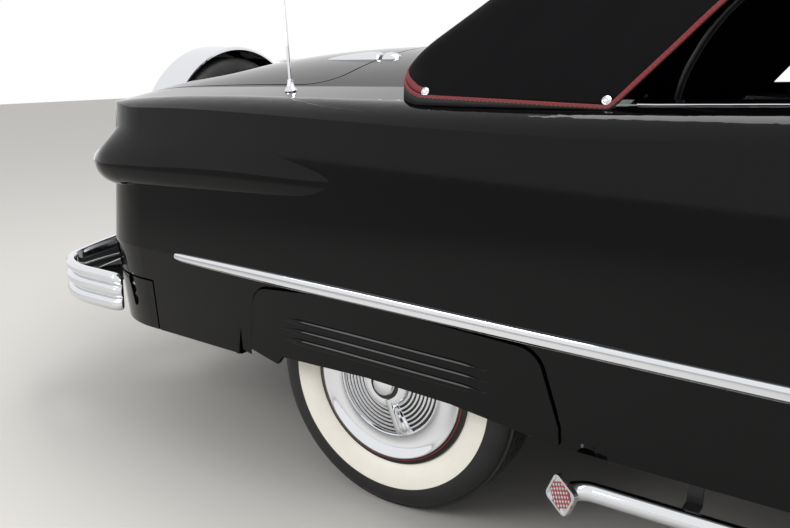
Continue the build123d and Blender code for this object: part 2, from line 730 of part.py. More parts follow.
# Lamps
lamp_s = nose_s - 26
headlamp = turned(((-70, 0), (-70, 94), (0, 97), (0, 112), (16, 108), (22, 92), (38, 60), (44, 0)),
                  lamp_s, lamp_y, lamp_z, "x")
save(Compound(children=both_sides(headlamp)), "headlamps")
taillamp = turned(((0, 0), (0, 34), (10, 34), (24, 22), (28, 0)), pod_rows[0][0] - 1, pod_rows[0][1], pod_z, "-x")
save(Compound(children=both_sides(taillamp)), "taillamps")

# Antenna on the right quarter
antenna_s, antenna_y = -358, -712
antenna_foot = 1016
antenna = join(round_bar(antenna_s, antenna_y, antenna_foot + 20, 17, 30, "z"),
               strut((antenna_s, antenna_y, antenna_foot + 20), (antenna_s - 28, antenna_y, antenna_foot + 480), 3.5))
antenna = cut(antenna, raised_form)
save(antenna, "antenna")

# Side pipes under the sills: the rear end turns outward and is closed by a square cap
pipe_y, pipe_z, pipe_r = 900, 277, 20
pipe_front_s, front_bend_r, front_turn = 1950, 160, 70
end_bend_r, end_turn, end_length = 50, 65, 12
end_s = 527
cap_side, cap_corner_r, cap_depth, cap_tilt = 66, 12, 12, 25
end_run = (cos(radians(end_turn)), -sin(radians(end_turn)))
end_y = pipe_y + end_bend_r * (1 - cos(radians(end_turn))) - end_length * end_run[1]
with BuildLine() as pipe_line:
    Line((at(end_s), end_y), (at(end_s) + end_length * end_run[0], end_y + end_length * end_run[1]))
    end_bend = JernArc(start=pipe_line.line @ 1, tangent=end_run, radius=end_bend_r, arc_size=end_turn)
    Line(end_bend @ 1, (at(pipe_front_s), pipe_y))
    JernArc(start=(at(pipe_front_s), pipe_y), tangent=(1, 0), radius=front_bend_r, arc_size=-front_turn)
with BuildPart() as pipe:
    with BuildSketch(Plane(origin=(pipe_line.line @ 0) + Vector(0, 0, pipe_z), z_dir=pipe_line.line % 0)):
        Circle(pipe_r)
    sweep(path=pipe_line.line.moved(Location((0, 0, pipe_z))))
cap_plane = Plane(origin=(pipe_line.line @ 0) + Vector(0, 0, pipe_z), x_dir=(0, 0, 1), z_dir=-(pipe_line.line % 0))
with BuildPart() as cap:
    with BuildSketch(cap_plane):
        RectangleRounded(cap_side, cap_side, cap_corner_r, rotation=cap_tilt)
    extrude(amount=cap_depth)
    with BuildSketch(cap_plane.offset(cap_depth)):
        RectangleRounded(cap_side - 10, cap_side - 10, cap_corner_r - 5, rotation=cap_tilt)
    extrude(amount=-3, mode=Mode.SUBTRACT)
    with BuildSketch(cap_plane.offset(-6)):
        Circle(pipe_r + 4)
    extrude(amount=6)
hanger_rows = (760, 1880)
hanger_y, hanger_wall, hanger_half = 850, 8, 15
hanger_z = pipe_z + pipe_r - 10
side_pipe = join(pipe.part, cap.part)
for s in hanger_rows:
    side_pipe = join(side_pipe,
                     block(s - hanger_half, s + hanger_half, hanger_y, pipe_y, hanger_z, hanger_z + hanger_wall),
                     block(s - hanger_half, s + hanger_half, hanger_y, hanger_y + hanger_wall, hanger_z, sill_z))
save(side_pipe, "side_pipe_left")
save(mirror(side_pipe, about=Plane.XZ), "side_pipe_right")

# Spare wheel behind the tail, in its ring
spare_tyre = turned(((-spare_width / 2 + 6, 0), (-spare_width / 2 + 6, 200), (-spare_width / 2, 290),
                     (-spare_width / 2 + 22, tyre_r), (spare_width / 2 - 22, tyre_r), (spare_width / 2, 290),
                     (spare_width / 2 - 12, 210), (20, 200), (20, 0)),
                    spare_front_s - 4 - spare_width / 2, 0, spare_z, "x")
save(spare_tyre, "spare_tyre")
ring_r = 373
rear_lip = -spare_width - 12
spare_cover = turned(((0, ring_r - 4), (-8, ring_r), (rear_lip + 12, ring_r), (rear_lip, ring_r - 14),
                      (rear_lip, 226), (rear_lip + 5, 226), (rear_lip + 5, ring_r - 18), (rear_lip + 14, ring_r - 7),
                      (-8, ring_r - 7), (0, ring_r - 10)), spare_front_s, 0, spare_z, "x")
save(spare_cover, "spare_cover")

# Road wheels: tyre and wheel outlines as offset outward from the wheel's middle plane, and radius
half = tyre_width / 2
tyre_rows = ((-62, rim_r), (-half + 2, 248), (-half, 285), (-half + 20, tyre_r - 8), (-46, tyre_r), (46, tyre_r),
             (half - 20, tyre_r - 8), (half, 285), (half - 2, 248), (62, rim_r))
wheel_rows = ((-60, rim_r - 8), (-60, rim_r - 1), (60, rim_r - 1), (62.5, rim_r - 1), (68, rim_r + 4), (72, rim_r - 4), (58, 150),
              (62, 120), (66, 60), (86, 52), (94, 0), (20, 0), (20, 190), (-52, 190))
for end, s in (("front", wheelbase), ("rear", 0)):
    for side, sign in (("left", "y"), ("right", "-y")):
        y = wheel_y if side == "left" else -wheel_y
        save(turned(tyre_rows, s, y, hub_z, sign), "tyre_" + end + "_" + side)
        save(turned(wheel_rows, s, y, hub_z, sign), "wheel_" + end + "_" + side)

# Steering knuckles with brake drums
drum = turned(((-12, 0), (-12, 138), (-118, 138), (-118, 0)), wheelbase, wheel_y + 20, hub_z, "y")
upright = block(wheelbase - 22, wheelbase + 22, 582, 614, 222, 500)
steering_arm = block(wheelbase - 150, wheelbase, 586, 606, 250, 272)
knuckle = join(drum, upright, steering_arm)
save(knuckle, "knuckle_left")
save(mirror(knuckle, about=Plane.XZ), "knuckle_right")
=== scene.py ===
"""Looks of a two-door convertible of about 1950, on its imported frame."""
import json
from math import cos, pi, radians, sin, sqrt

import bmesh
import bpy
from mathutils import Matrix, Vector
from mathutils.bvhtree import BVHTree
from mathutils.noise import noise as unevenness


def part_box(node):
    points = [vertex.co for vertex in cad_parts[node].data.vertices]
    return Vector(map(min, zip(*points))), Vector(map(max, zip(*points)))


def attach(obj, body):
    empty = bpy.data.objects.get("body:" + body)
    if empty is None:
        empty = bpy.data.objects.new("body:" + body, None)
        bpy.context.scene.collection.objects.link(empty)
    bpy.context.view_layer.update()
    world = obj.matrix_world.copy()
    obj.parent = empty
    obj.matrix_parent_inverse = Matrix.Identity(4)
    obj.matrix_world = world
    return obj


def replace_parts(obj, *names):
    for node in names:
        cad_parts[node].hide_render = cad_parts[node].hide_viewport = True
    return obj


bl_info = {
    "name": "Convertible Dresser",
    "version": (1, 0, 0),
    "blender": (4, 5, 0),
    "location": "View3D > Sidebar > Convertible",
    "description": "Dresses the frame of a soft-top convertible and sets its stage",
    "category": "Object",
}

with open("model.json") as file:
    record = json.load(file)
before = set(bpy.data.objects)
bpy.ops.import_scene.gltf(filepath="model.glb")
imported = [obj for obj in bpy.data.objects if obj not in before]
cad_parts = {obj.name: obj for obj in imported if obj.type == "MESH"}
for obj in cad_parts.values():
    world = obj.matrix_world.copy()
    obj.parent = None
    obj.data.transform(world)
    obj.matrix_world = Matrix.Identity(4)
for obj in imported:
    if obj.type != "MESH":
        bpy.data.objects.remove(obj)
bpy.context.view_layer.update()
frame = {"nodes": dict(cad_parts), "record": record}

# Axles and hubs, read from the wheels' own boxes
REAR_LOW, REAR_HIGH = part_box("tyre_rear_right")
FRONT_LOW, FRONT_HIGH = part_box("tyre_front_right")
AXLE_R = (REAR_LOW.x + REAR_HIGH.x) / 2
AXLE_F = (FRONT_LOW.x + FRONT_HIGH.x) / 2
HUB_Z = (REAR_LOW.z + REAR_HIGH.z) / 2
WHEEL_Y = -(REAR_LOW.y + REAR_HIGH.y) / 2
CHASSIS = "chassis"
SIDES = (("left", 1), ("right", -1))


def srgb(code):
    """Linear colour from a six-digit hex code."""
    parts = [int(code[i:i + 2], 16) / 255 for i in (0, 2, 4)]
    linear = [c / 12.92 if c <= 0.04045 else ((c + 0.055) / 1.055) ** 2.4 for c in parts]
    return (*linear, 1.0)


def colour(name, code, about):
    """A colour that the user can change."""
    return bpy.props.FloatVectorProperty(name=name, description=about, subtype="COLOR", size=4, min=0, max=1,
                                         default=srgb(code))


def length(name, default, about):
    """A length that the user can change, in metres."""
    return bpy.props.FloatProperty(name=name, description=about, unit="LENGTH", default=default, min=0.0001)


class ConvertibleColours(bpy.types.PropertyGroup):
    """Colours of the main finishes."""
    paint: colour("Body paint", "040405", "Lacquer of the body panels")
    canvas: colour("Canvas", "060608", "Cloth of the soft top")
    welt: colour("Welt", "5e0a11", "Binding and piping along the edges of the soft top")
    whitewall: colour("Whitewall", "f7f3e8", "White rubber band on the tyres")
    pinstripe: colour("Pinstripe", "8e1f1f", "Fine line on the wheel rims")
    trim: colour("Seat trim", "121213", "Grained vinyl of the seats and door cards")


class ConvertibleSizes(bpy.types.PropertyGroup):
    """Sizes of the trim that this script adds."""
    whitewall_outer: length("Whitewall outer radius", 0.2785, "Radius where the white band meets the black")
    whitewall_inner: length("Whitewall inner radius", 0.2185, "Radius where the white band meets the rim")
    grooves: bpy.props.IntProperty(name="Cover grooves", description="Dark grooves in each wheel cover",
                                   default=7, min=1, max=12)
    spear_height: length("Spear height", 0.032, "Height of the chrome moulding on the body side")
    spear_depth: length("Spear depth", 0.010, "How far the moulding stands off the panel")
    welt_width: length("Welt width", 0.011, "Width of the binding on the soft top's edges")
    stitch_pitch: length("Stitch pitch", 0.010, "Distance from one stitch to the next")
    snap_radius: length("Snap radius", 0.0095, "Radius of a snap fastener's dome")
    tread_units: bpy.props.IntProperty(name="Tread units", description="Repeats of the tread around a tyre",
                                       default=60, min=20, max=90)


def colours():
    return bpy.context.scene.convertible_colours


def sizes():
    return bpy.context.scene.convertible_sizes


def station(s):
    """Place along the car of a distance ahead of the rear axle."""
    return AXLE_R + s


def spot(s, y, z):
    """Place in the frame of a point given by its distance ahead of the rear axle."""
    return (AXLE_R + s, y, z)


def steps_from(first, last, count):
    """Values at even steps from the first to the last."""
    return [first + (last - first) * i / count for i in range(count + 1)]


# Materials


def add_node(tree, kind, inputs=(), **settings):
    """Adds a node with its settings; inputs gives a socket its value or the output that feeds it."""
    made = tree.nodes.new(kind)
    for key, value in settings.items():
        setattr(made, key, value)
    for socket, value in dict(inputs).items():
        if isinstance(value, bpy.types.NodeSocket):
            tree.links.new(value, made.inputs[socket])
        else:
            made.inputs[socket].default_value = value
    return made


# Middle part of a noise's range, which sheens are spread over
NOISE_LOW, NOISE_HIGH = 0.25, 0.75


def uneven(tree, size, detail, seed):
    """Noise on object coordinates, its features of a size in metres."""
    where = add_node(tree, "ShaderNodeTexCoord")
    place = add_node(tree, "ShaderNodeMapping", {"Vector": where.outputs["Object"], "Location": (seed,) * 3})
    return add_node(tree, "ShaderNodeTexNoise",
                    {"Vector": place.outputs[0], "Scale": 1.0 / size, "Detail": detail}).outputs[0]


def surface(name, base, rough, tone=None, sheen=None, grain=None, **values):
    """Material of one finish.

    tone is a pattern, a dark and a light colour; sheen is a pattern, a low and a high roughness; grain is a
    pattern, a strength and a depth in metres. A pattern is the size in metres, the detail and the seed of a
    noise on object coordinates, or a function that draws one.
    """
    made = bpy.data.materials.new(name)
    made.use_nodes = True
    tree = made.node_tree
    tree.nodes.clear()
    inputs = {"Base Color": base, "Roughness": rough}
    inputs |= {key.replace("_", " "): value for key, value in values.items()}
    for socket, row in (("Base Color", tone), ("Roughness", sheen), ("Normal", grain)):
        if row is None:
            continue
        pattern, low, high = row
        drawn = pattern(tree) if callable(pattern) else uneven(tree, *pattern)
        if socket == "Base Color":
            mixed = add_node(tree, "ShaderNodeMix", {"Factor": drawn, 6: low, 7: high}, data_type="RGBA")
            inputs[socket] = mixed.outputs[2]
        elif socket == "Roughness":
            inputs[socket] = add_node(tree, "ShaderNodeMapRange",
                                      {"Value": drawn, "From Min": NOISE_LOW, "From Max": NOISE_HIGH,
                                       "To Min": low, "To Max": high}).outputs[0]
        else:
            inputs[socket] = add_node(tree, "ShaderNodeBump",
                                      {"Height": drawn, "Strength": low, "Distance": high}).outputs[0]
    shader = add_node(tree, "ShaderNodeBsdfPrincipled", inputs)
    add_node(tree, "ShaderNodeOutputMaterial", {"Surface": shader.outputs[0]})
    return made


def scaled(base, share, lift=0.0):
    """A colour made lighter or darker."""
    return tuple(min(1.0, c * share + lift) for c in tuple(base)[:3]) + (1.0,)


def black_lacquer():
    """Polished black lacquer: deep and mirror-like, with faint waviness from hand sanding."""
    return surface("black_lacquer", tuple(colours().paint), 0.04, sheen=((0.02, 2.0, 3.0), 0.025, 0.06),
                   grain=((0.35, 1.0, 0.0), 0.04, 0.0012), Specular_IOR_Level=0.2)


def satin_enamel(name, code, rough, seed):
    """Brushed or sprayed chassis enamel: satin, with slow changes of sheen and a fine orange peel."""
    base, patches = srgb(code), (0.08, 4.0, seed)
    return surface(name, base, rough, tone=(patches, base, scaled(base, 1.9, 0.003)),
                   sheen=(patches, rough - 0.1, rough + 0.12), grain=((0.003, 2.0, seed + 1), 0.15, 0.0004))


def chassis_enamel():
    """Chassis black: brushed-on satin enamel."""
    return satin_enamel("satin_chassis_enamel", "0e0e0f", 0.45, 1.0)


def engine_enamel():
    """Grey-green engine enamel over rough cast iron."""
    return satin_enamel("engine_enamel_on_iron", "39403c", 0.5, 12.0)


def dull_steel():
    """Aluminised steel tube: dull grey with heat-darkened patches."""
    patches = (0.1, 4.0, 14.0)
    return surface("aluminised_steel_tube", srgb("8b8680"), 0.4, Metallic=1.0,
                   tone=(patches, srgb("6d675f"), srgb("a19c94")), sheen=(patches, 0.3, 0.5))


def chrome_plate():
    """Show chrome: nearly a mirror, slightly cool, with a trace of polishing haze."""
    return surface("chrome_plate", srgb("e2e4e8"), 0.04, Metallic=1.0, sheen=((0.05, 3.0, 4.0), 0.03, 0.09))


def window_glass():
    """Laminated safety glass: clear with a light green tint."""
    return surface("safety_glass", srgb("e3ece7"), 0.02, IOR=1.52, Transmission_Weight=1.0,
                   grain=((0.4, 1.0, 5.0), 0.03, 0.001))


def tyre_rubber():
    """Cured black tyre rubber: dark grey-black, dull, with fine mould texture."""
    return surface("cured_tyre_rubber", srgb("111112"), 0.6, IOR=1.52, sheen=((0.06, 4.0, 7.0), 0.5, 0.72),
                   grain=((0.002, 3.0, 6.0), 0.25, 0.0004))


def whitewall_rubber():
    """White sidewall rubber: creamy, soft sheen, a little uneven in tone."""
    light = tuple(colours().whitewall)
    return surface("cream_whitewall_rubber", light, 0.42, tone=((0.05, 3.0, 8.0), scaled(light, 0.9), light),
                   grain=((0.0015, 2.0, 9.0), 0.1, 0.0003))


def gloss_enamel(name, base, rough=0.12):
    """Baked enamel in one colour: glossy, with faint orange peel and a slow change of sheen."""
    return surface(name, base, rough, sheen=((0.05, 2.0, 15.0), rough * 0.7, rough * 1.4),
                   grain=((0.002, 2.0, 10.0), 0.06, 0.0002))


def wheel_enamel():
    """Gloss black of the wheel rims and of the grooves in their covers."""
    return gloss_enamel("wheel_black_enamel", srgb("09090a"))


def stripe_enamel():
    """Fine red pinstripe."""
    return gloss_enamel("pinstripe_red_enamel", tuple(colours().pinstripe), 0.25)


def dash_enamel():
    """Gloss dash enamel and moulded plastic of the steering wheel."""
    return gloss_enamel("dash_black_enamel", srgb("0d0d0f"), 0.18)


def dial_face():
    """Printed dial face: cream, matt."""
    return gloss_enamel("cream_dial_face", srgb("cfc8b4"), 0.5)


def cap_enamel():
    """Red enamel of the side pipe caps and the gauge pointers."""
    return gloss_enamel("cap_red_enamel", srgb("8c1a1c"), 0.3)


def lens_flutes(tree):
    """Bands of a pressed lens, across the car."""
    where = add_node(tree, "ShaderNodeTexCoord")
    return add_node(tree, "ShaderNodeTexWave", {"Vector": where.outputs["Object"], "Scale": 18.0,
                                                "Distortion": 0.3}, bands_direction="Y").outputs["Fac"]


def lens_glass(name, base, transmission):
    """Pressed lens glass: fluted, so its lights and darks run in fine bands."""
    return surface(name, base, 0.06, Transmission_Weight=transmission, grain=(lens_flutes, 0.35, 0.002))


def red_lens():
    """Red tail lamp glass."""
    return lens_glass("red_lens_glass", srgb("8a0f0f"), 0.3)


def clear_lens():
    """Clear headlamp glass over a bright reflector."""
    return lens_glass("fluted_headlamp_glass", srgb("dfe3e4"), 0.25)


THREAD_PITCH = 0.0026
# A wave texture at scale 1 has this period in metres
WAVE_PERIOD = 0.314


def plain_weave(tree):
    """Two sets of threads, one over the other, on the cloth's own map."""
    where = add_node(tree, "ShaderNodeUVMap", uv_map="weave")
    thread = {"Vector": where.outputs[0], "Scale": WAVE_PERIOD / THREAD_PITCH, "Distortion": 0.8,
              "Detail": 1.0, "Detail Scale": 2.0}
    warp, weft = (add_node(tree, "ShaderNodeTexWave", thread, bands_direction=way).outputs["Fac"]
                  for way in "XY")
    return add_node(tree, "ShaderNodeMath", {0: warp, 1: weft}, operation="MULTIPLY").outputs[0]


def worn_weave(tree):
    """The weave with lint that comes and goes, as a share of the worn colour."""
    fine, broad = (uneven(tree, *pattern) for pattern in ((0.004, 5.0, 16.0), (0.25, 3.0, 17.0)))
    lint = add_node(tree, "ShaderNodeMath", {0: fine, 1: broad}, operation="MULTIPLY")
    both = add_node(tree, "ShaderNodeMath", {0: lint.outputs[0], 1: plain_weave(tree)}, operation="ADD")
    share = add_node(tree, "ShaderNodeMapRange",
                     {"Value": both.outputs[0], "From Min": NOISE_LOW, "From Max": NOISE_HIGH,
                      "To Min": 0.0, "To Max": 0.7})
    return share.outputs[0]


def canvas_cloth():
    """Black canvas of the soft top: plain weave, drawn at 2.6 mm a thread so that it shows, with lint."""
    base = tuple(colours().canvas)
    return surface("woven_black_canvas", base, 0.85, IOR=1.45, Specular_IOR_Level=0.12, Sheen_Weight=0.02,
                   Sheen_Roughness=0.5, tone=(worn_weave, base, scaled(base, 1.7)),
                   grain=(plain_weave, 0.3, 0.0005))


def leather_cells(tree):
    """Cells of a leather grain, 2.4 mm across."""
    where = add_node(tree, "ShaderNodeTexCoord")
    return add_node(tree, "ShaderNodeTexVoronoi",
                    {"Vector": where.outputs["Object"], "Scale": 420.0}).outputs["Distance"]


def grained_vinyl(name, base, rough, seed):
    """Grained vinyl: soft sheen over a fine leather grain."""
    patches = (0.1, 3.0, seed)
    return surface(name, base, rough, tone=(patches, base, scaled(base, 1.6, 0.002)),
                   sheen=(patches, rough - 0.08, rough + 0.1), grain=(leather_cells, 0.3, 0.0006))


def seat_vinyl():
    """Black seat trim."""
    return grained_vinyl("black_seat_vinyl", tuple(colours().trim), 0.38, 18.0)


def welt_vinyl():
    """Dark red welt of the soft top's edges."""
    return grained_vinyl("dark_red_welt_vinyl", tuple(colours().welt), 0.6, 19.0)


def welt_thread():
    """Red sewing thread, a little lighter than the welt."""
    return grained_vinyl("red_sewing_thread", srgb("a0474a"), 0.6, 20.0)


def binding_cloth():
    """Flat black binding tape and lapped seams: cloth without the open weave."""
    return grained_vinyl("black_binding_tape", srgb("0a0a0b"), 0.8, 22.0)


def floor_carpet():
    """Black loop carpet: dull, with a coarse pile."""
    pile = (0.004, 3.0, 21.0)
    return surface("black_loop_carpet", srgb("131314"), 0.95, IOR=1.45, Sheen_Weight=0.2,
                   tone=(pile, srgb("0b0b0c"), srgb("242426")), grain=(pile, 0.8, 0.002))


MAKERS = {
    "black_paint": black_lacquer,
    "chassis_black": chassis_enamel,
    "engine_grey": engine_enamel,
    "steel_tube": dull_steel,
    "chrome": chrome_plate,
    "glass": window_glass,
    "tyre": tyre_rubber,
    "whitewall": whitewall_rubber,
    "wheel_black": wheel_enamel,
    "stripe_red": stripe_enamel,
    "dash_paint": dash_enamel,
    "dial": dial_face,
    "red_lens": red_lens,
    "clear_lens": clear_lens,
    "canvas": canvas_cloth,
    "trim": seat_vinyl,
    "welt": welt_vinyl,
    "thread": welt_thread,
    "carpet": floor_carpet,
    "cap_red": cap_enamel,
    "canvas_flat": binding_cloth,
}
MATERIALS = {}


def material(name):
    """One of the scene's materials, made when first asked for."""
    if name not in MATERIALS:
        MATERIALS[name] = MAKERS[name]()
    return MATERIALS[name]


def dress(node, name):
    """Gives a CAD node one material."""
    owner = frame["nodes"][node]
    owner.data.materials.clear()
    owner.data.materials.append(material(name))


# Shapes


def finish_piece(name, mesh, body=CHASSIS, slot="chrome", materials=None, smooth=True):
    """Object from a mesh, riding on a body, in its slot's material unless others are given."""
    made = bpy.data.objects.new(name, mesh)
    bpy.context.collection.objects.link(made)
    for item in materials or [slot]:
        mesh.materials.append(material(item))
    if smooth:
        for face in mesh.polygons:
            face.use_smooth = True
    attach(made, body)
    return made


# Faces that meet more steeply than this, in degrees, keep a sharp edge
SHARP_ANGLE = 32


def mesh_from(name, verts, faces, bands=None):
    """Mesh with doubles merged and faces outwards; bands gives each face its material's number."""
    mesh = bpy.data.meshes.new(name)
    mesh.from_pydata([tuple(v) for v in verts], [], faces)
    if bands:
        for face, band in zip(mesh.polygons, bands):
            face.material_index = band
    bm = bmesh.new()
    bm.from_mesh(mesh)
    bmesh.ops.remove_doubles(bm, verts=bm.verts, dist=1e-6)
    bmesh.ops.recalc_face_normals(bm, faces=bm.faces)
    for edge in bm.edges:
        if len(edge.link_faces) == 2:
            edge.smooth = edge.calc_face_angle(0) < radians(SHARP_ANGLE)
    bm.to_mesh(mesh)
    bm.free()
    return mesh


def solid(name, verts, faces, body=CHASSIS, slot="chrome", materials=None, smooth=True, bands=None):
    """Piece from points and faces."""
    return finish_piece(name, mesh_from(name, verts, faces, bands), body, slot, materials, smooth)


def ring_faces(rings, count, start=0, closed=True):
    """Quads that join rings, or open rows, of count points each."""
    return [(start + r * count + i, start + r * count + (i + 1) % count,
             start + (r + 1) * count + (i + 1) % count, start + (r + 1) * count + i)
            for r in range(rings - 1) for i in range(count if closed else count - 1)]


def lathe(name, rows, places, axis, body=CHASSIS, slot="chrome", materials=None, steps=96):
    """Turned piece at one place or several.

    A row is an offset along the axis, a radius and the number of the material of the band after it, which
    is left out where it is 0.
    """
    axis = Vector(axis).normalized()
    side = axis.orthogonal().normalized()
    other = axis.cross(side)
    if not hasattr(places[0], "__len__"):
        places = [places]
    verts, faces = [], []
    for place in places:
        faces += ring_faces(len(rows), steps, len(verts))
        for offset, radius, *_ in rows:
            for i in range(steps):
                turn = 2 * pi * i / steps
                out = side * cos(turn) + other * sin(turn)
                verts.append(Vector(place) + axis * offset + out * radius)
    bands = [sum(row[2:]) for row in rows[:-1] for _ in range(steps)] * len(places)
    return solid(name, verts, faces, body, slot, materials, bands=bands)


def sweep(name, points, profile, body=CHASSIS, slot="chrome", materials=None, up=(0, 0, 1), shares=None):
    """Carries a closed profile of (out, high) pairs along points, with a share of its size at each.

    With the path running forward, out is the car's right. up is one direction, or a list with one for each
    point.
    """
    points = [Vector(p) for p in points]
    ups = up if isinstance(up, list) else [up] * len(points)
    count = len(profile)
    verts = []
    for i, point in enumerate(points):
        ahead = (points[min(i + 1, len(points) - 1)] - points[max(i - 1, 0)]).normalized()
        across = ahead.cross(Vector(ups[i])).normalized()
        high = across.cross(ahead)
        share = shares[i] if shares else 1
        verts += [point + (across * a + high * b) * share for a, b in profile]
    faces = ring_faces(len(points), count)
    faces.append(tuple(reversed(range(count))))
    faces.append(tuple(range(len(verts) - count, len(verts))))
    return solid(name, verts, faces, body, slot, materials)


def oval(width, height, steps=10):
    """Closed oval profile."""
    return [(width / 2 * cos(2 * pi * i / steps), height / 2 * sin(2 * pi * i / steps)) for i in range(steps)]


def smooth_step(x):
    """Share from 0 to 1 that starts and ends softly."""
    x = min(max(x, 0.0), 1.0)
    return x * x * (3 - 2 * x)


def smooth_path(points, between):
    """Points along a smooth curve through the given ones."""
    points = [Vector(p) for p in points]
    padded = [points[0] * 2 - points[1]] + points + [points[-1] * 2 - points[-2]]
    made = []
    for i in range(1, len(padded) - 2):
        a, b, c, d = padded[i - 1:i + 3]
        for j in range(between):
            t = j / between
            made.append(0.5 * ((2 * b) + (c - a) * t + (2 * a - 5 * b + 4 * c - d) * t * t
                               + (3 * b - a - 3 * c + d) * t ** 3))
    made.append(points[-1])
    return made


def table_value(table, x):
    """Value between the rows (x, value) of a table."""
    if x <= table[0][0]:
        return table[0][1]
    if x >= table[-1][0]:
        return table[-1][1]
    for (x0, v0), (x1, v1) in zip(table, table[1:]):
        if x <= x1:
            return v0 + (v1 - v0) * (x - x0) / (x1 - x0)


def curve_table(table, between=8):
    """The same table with rows added along a smooth curve."""
    return [(p.x, p.y) for p in smooth_path([(x, v, 0) for x, v in table], between)]


def grid_mesh(name, rows, outward=None):
    """Open sheet of quads from equal rows of points, with a UV map in metres called weave."""
    count = len(rows[0])
    mesh = bpy.data.meshes.new(name)
    mesh.from_pydata([tuple(p) for row in rows for p in row], [], ring_faces(len(rows), count, closed=False))
    along = [0.0]
    middle = count // 2
    for a, b in zip(rows, rows[1:]):
        along.append(along[-1] + (Vector(b[middle]) - Vector(a[middle])).length)
    across = []
    for row in rows:
        run = [0.0]
        for a, b in zip(row, row[1:]):
            run.append(run[-1] + (Vector(b) - Vector(a)).length)
        across.append([r - run[-1] / 2 for r in run])
    layer = mesh.uv_layers.new(name="weave")
    for loop in mesh.loops:
        i, j = divmod(loop.vertex_index, count)
        layer.data[loop.index].uv = (along[i], across[i][j])
    if outward and sum(face.normal.dot(Vector(outward)) * face.area for face in mesh.polygons) < 0:
        mesh.flip_normals()
    return mesh


def applied(made, *modifiers):
    """Applies modifiers, given as (kind, settings), and keeps the result as the piece's plain mesh."""
    for kind, settings in modifiers:
        modifier = made.modifiers.new(kind.lower(), kind)
        for key, value in settings.items():
            setattr(modifier, key, value)
    bpy.context.view_layer.update()
    graph = bpy.context.evaluated_depsgraph_get()
    mesh = bpy.data.meshes.new_from_object(made.evaluated_get(graph))
    made.modifiers.clear()
    made.data = mesh
    return made


TREES = {}


def surface_tree(node):
    """Search tree over a CAD node's faces."""
    if node not in TREES:
        mesh = frame["nodes"][node].data
        TREES[node] = BVHTree.FromPolygons([v.co for v in mesh.vertices],
                                           [tuple(p.vertices) for p in mesh.polygons])
    return TREES[node]


# Starts of the rays that look for a surface, clear of the car
BESIDE, ABOVE, AHEAD = 1.4, 2.0, 3.2


def side_of(node, x, z, sign):
    """How far out a node's surface is at a place on one side."""
    return abs(surface_tree(node).ray_cast(Vector((x, sign * BESIDE, z)), Vector((0, -sign, 0)))[0].y)


def height_of(node, x, y):
    """How high a node's surface is over a place, or None beside it."""
    hit = surface_tree(node).ray_cast(Vector((x, y, ABOVE)), Vector((0, 0, -1)))[0]
    return None if hit is None else hit.z


# Repeats by geometry nodes


def spaced_along(tree, start):
    """Points at even spacing along the path's edges, directed along it."""
    path = add_node(tree, "GeometryNodeMeshToCurve", {"Mesh": start.outputs["Geometry"]})
    even = add_node(tree, "GeometryNodeResampleCurve",
                    {"Curve": path.outputs[0], "Length": start.outputs["Spacing"]}, mode="LENGTH")
    return even.outputs[0], add_node(tree, "GeometryNodeInputTangent").outputs[0]


def at_each_point(tree, start):
    """The given points themselves, directed as their attribute says."""
    spots = add_node(tree, "GeometryNodeMeshToPoints", {"Mesh": start.outputs["Geometry"]})
    heading = add_node(tree, "GeometryNodeInputNamedAttribute", {"Name": "facing"}, data_type="FLOAT_VECTOR")
    return spots.outputs[0], heading.outputs[0]


def repeat_tree(name, make_points, shape, pivot):
    """Node tree that sets a shape on points and lays its X axis along each point's direction."""
    tree = bpy.data.node_groups.new(name, "GeometryNodeTree")
    tree.is_modifier = True
    for label, kind in (("Geometry", "Geometry"), ("Spacing", "Float"), ("Scale", "Vector"),
                        ("Material", "Material")):
        tree.interface.new_socket(label, in_out="INPUT", socket_type="NodeSocket" + kind)
    tree.interface.new_socket("Geometry", in_out="OUTPUT", socket_type="NodeSocketGeometry")
    start = add_node(tree, "NodeGroupInput")
    points, direction = make_points(tree, start)
    turn = add_node(tree, "FunctionNodeAlignEulerToVector", {"Vector": direction}, axis="X", pivot_axis=pivot)
    source = add_node(tree, "GeometryNodeObjectInfo", {"Object": shape}, transform_space="ORIGINAL")
    spots = add_node(tree, "GeometryNodeInstanceOnPoints",
                     {"Points": points, "Instance": source.outputs["Geometry"], "Rotation": turn.outputs[0],
                      "Scale": start.outputs["Scale"]})
    real = add_node(tree, "GeometryNodeRealizeInstances", {"Geometry": spots.outputs[0]})
    dressed = add_node(tree, "GeometryNodeSetMaterial",
                       {"Geometry": real.outputs[0], "Material": start.outputs["Material"]})
    add_node(tree, "NodeGroupOutput", {0: dressed.outputs[0]})
    return tree


def repeated(name, points, shape, item, body=CHASSIS, edges=(), spacing=0, scale=1,
             facing=None, pivot="AUTO"):
    """Piece made of a shape repeated at points that face some way, or spaced along edges, as a plain mesh."""
    mesh = bpy.data.meshes.new(name)
    mesh.from_pydata([tuple(p) for p in points], edges, [])
    if facing:
        layer = mesh.attributes.new("facing", "FLOAT_VECTOR", "POINT")
        for i, way in enumerate(facing):
            layer.data[i].vector = way
    made = bpy.data.objects.new(name, mesh)
    bpy.context.collection.objects.link(made)
    tree = repeat_tree(name + "_tree", at_each_point if facing else spaced_along, shape, pivot)
    modifier = made.modifiers.new("repeat", "NODES")
    modifier.node_group = tree
    values = {"Spacing": spacing, "Scale": (scale,) * 3, "Material": material(item)}
    for socket in tree.interface.items_tree:
        if socket.item_type == "SOCKET" and socket.in_out == "INPUT" and socket.name in values:
            modifier[socket.identifier] = values[socket.name]
    applied(made)
    for face in made.data.polygons:
        face.use_smooth = True
    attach(made, body)
    return made


STITCH_SIZE = (0.0066, 0.0012, 0.0008)
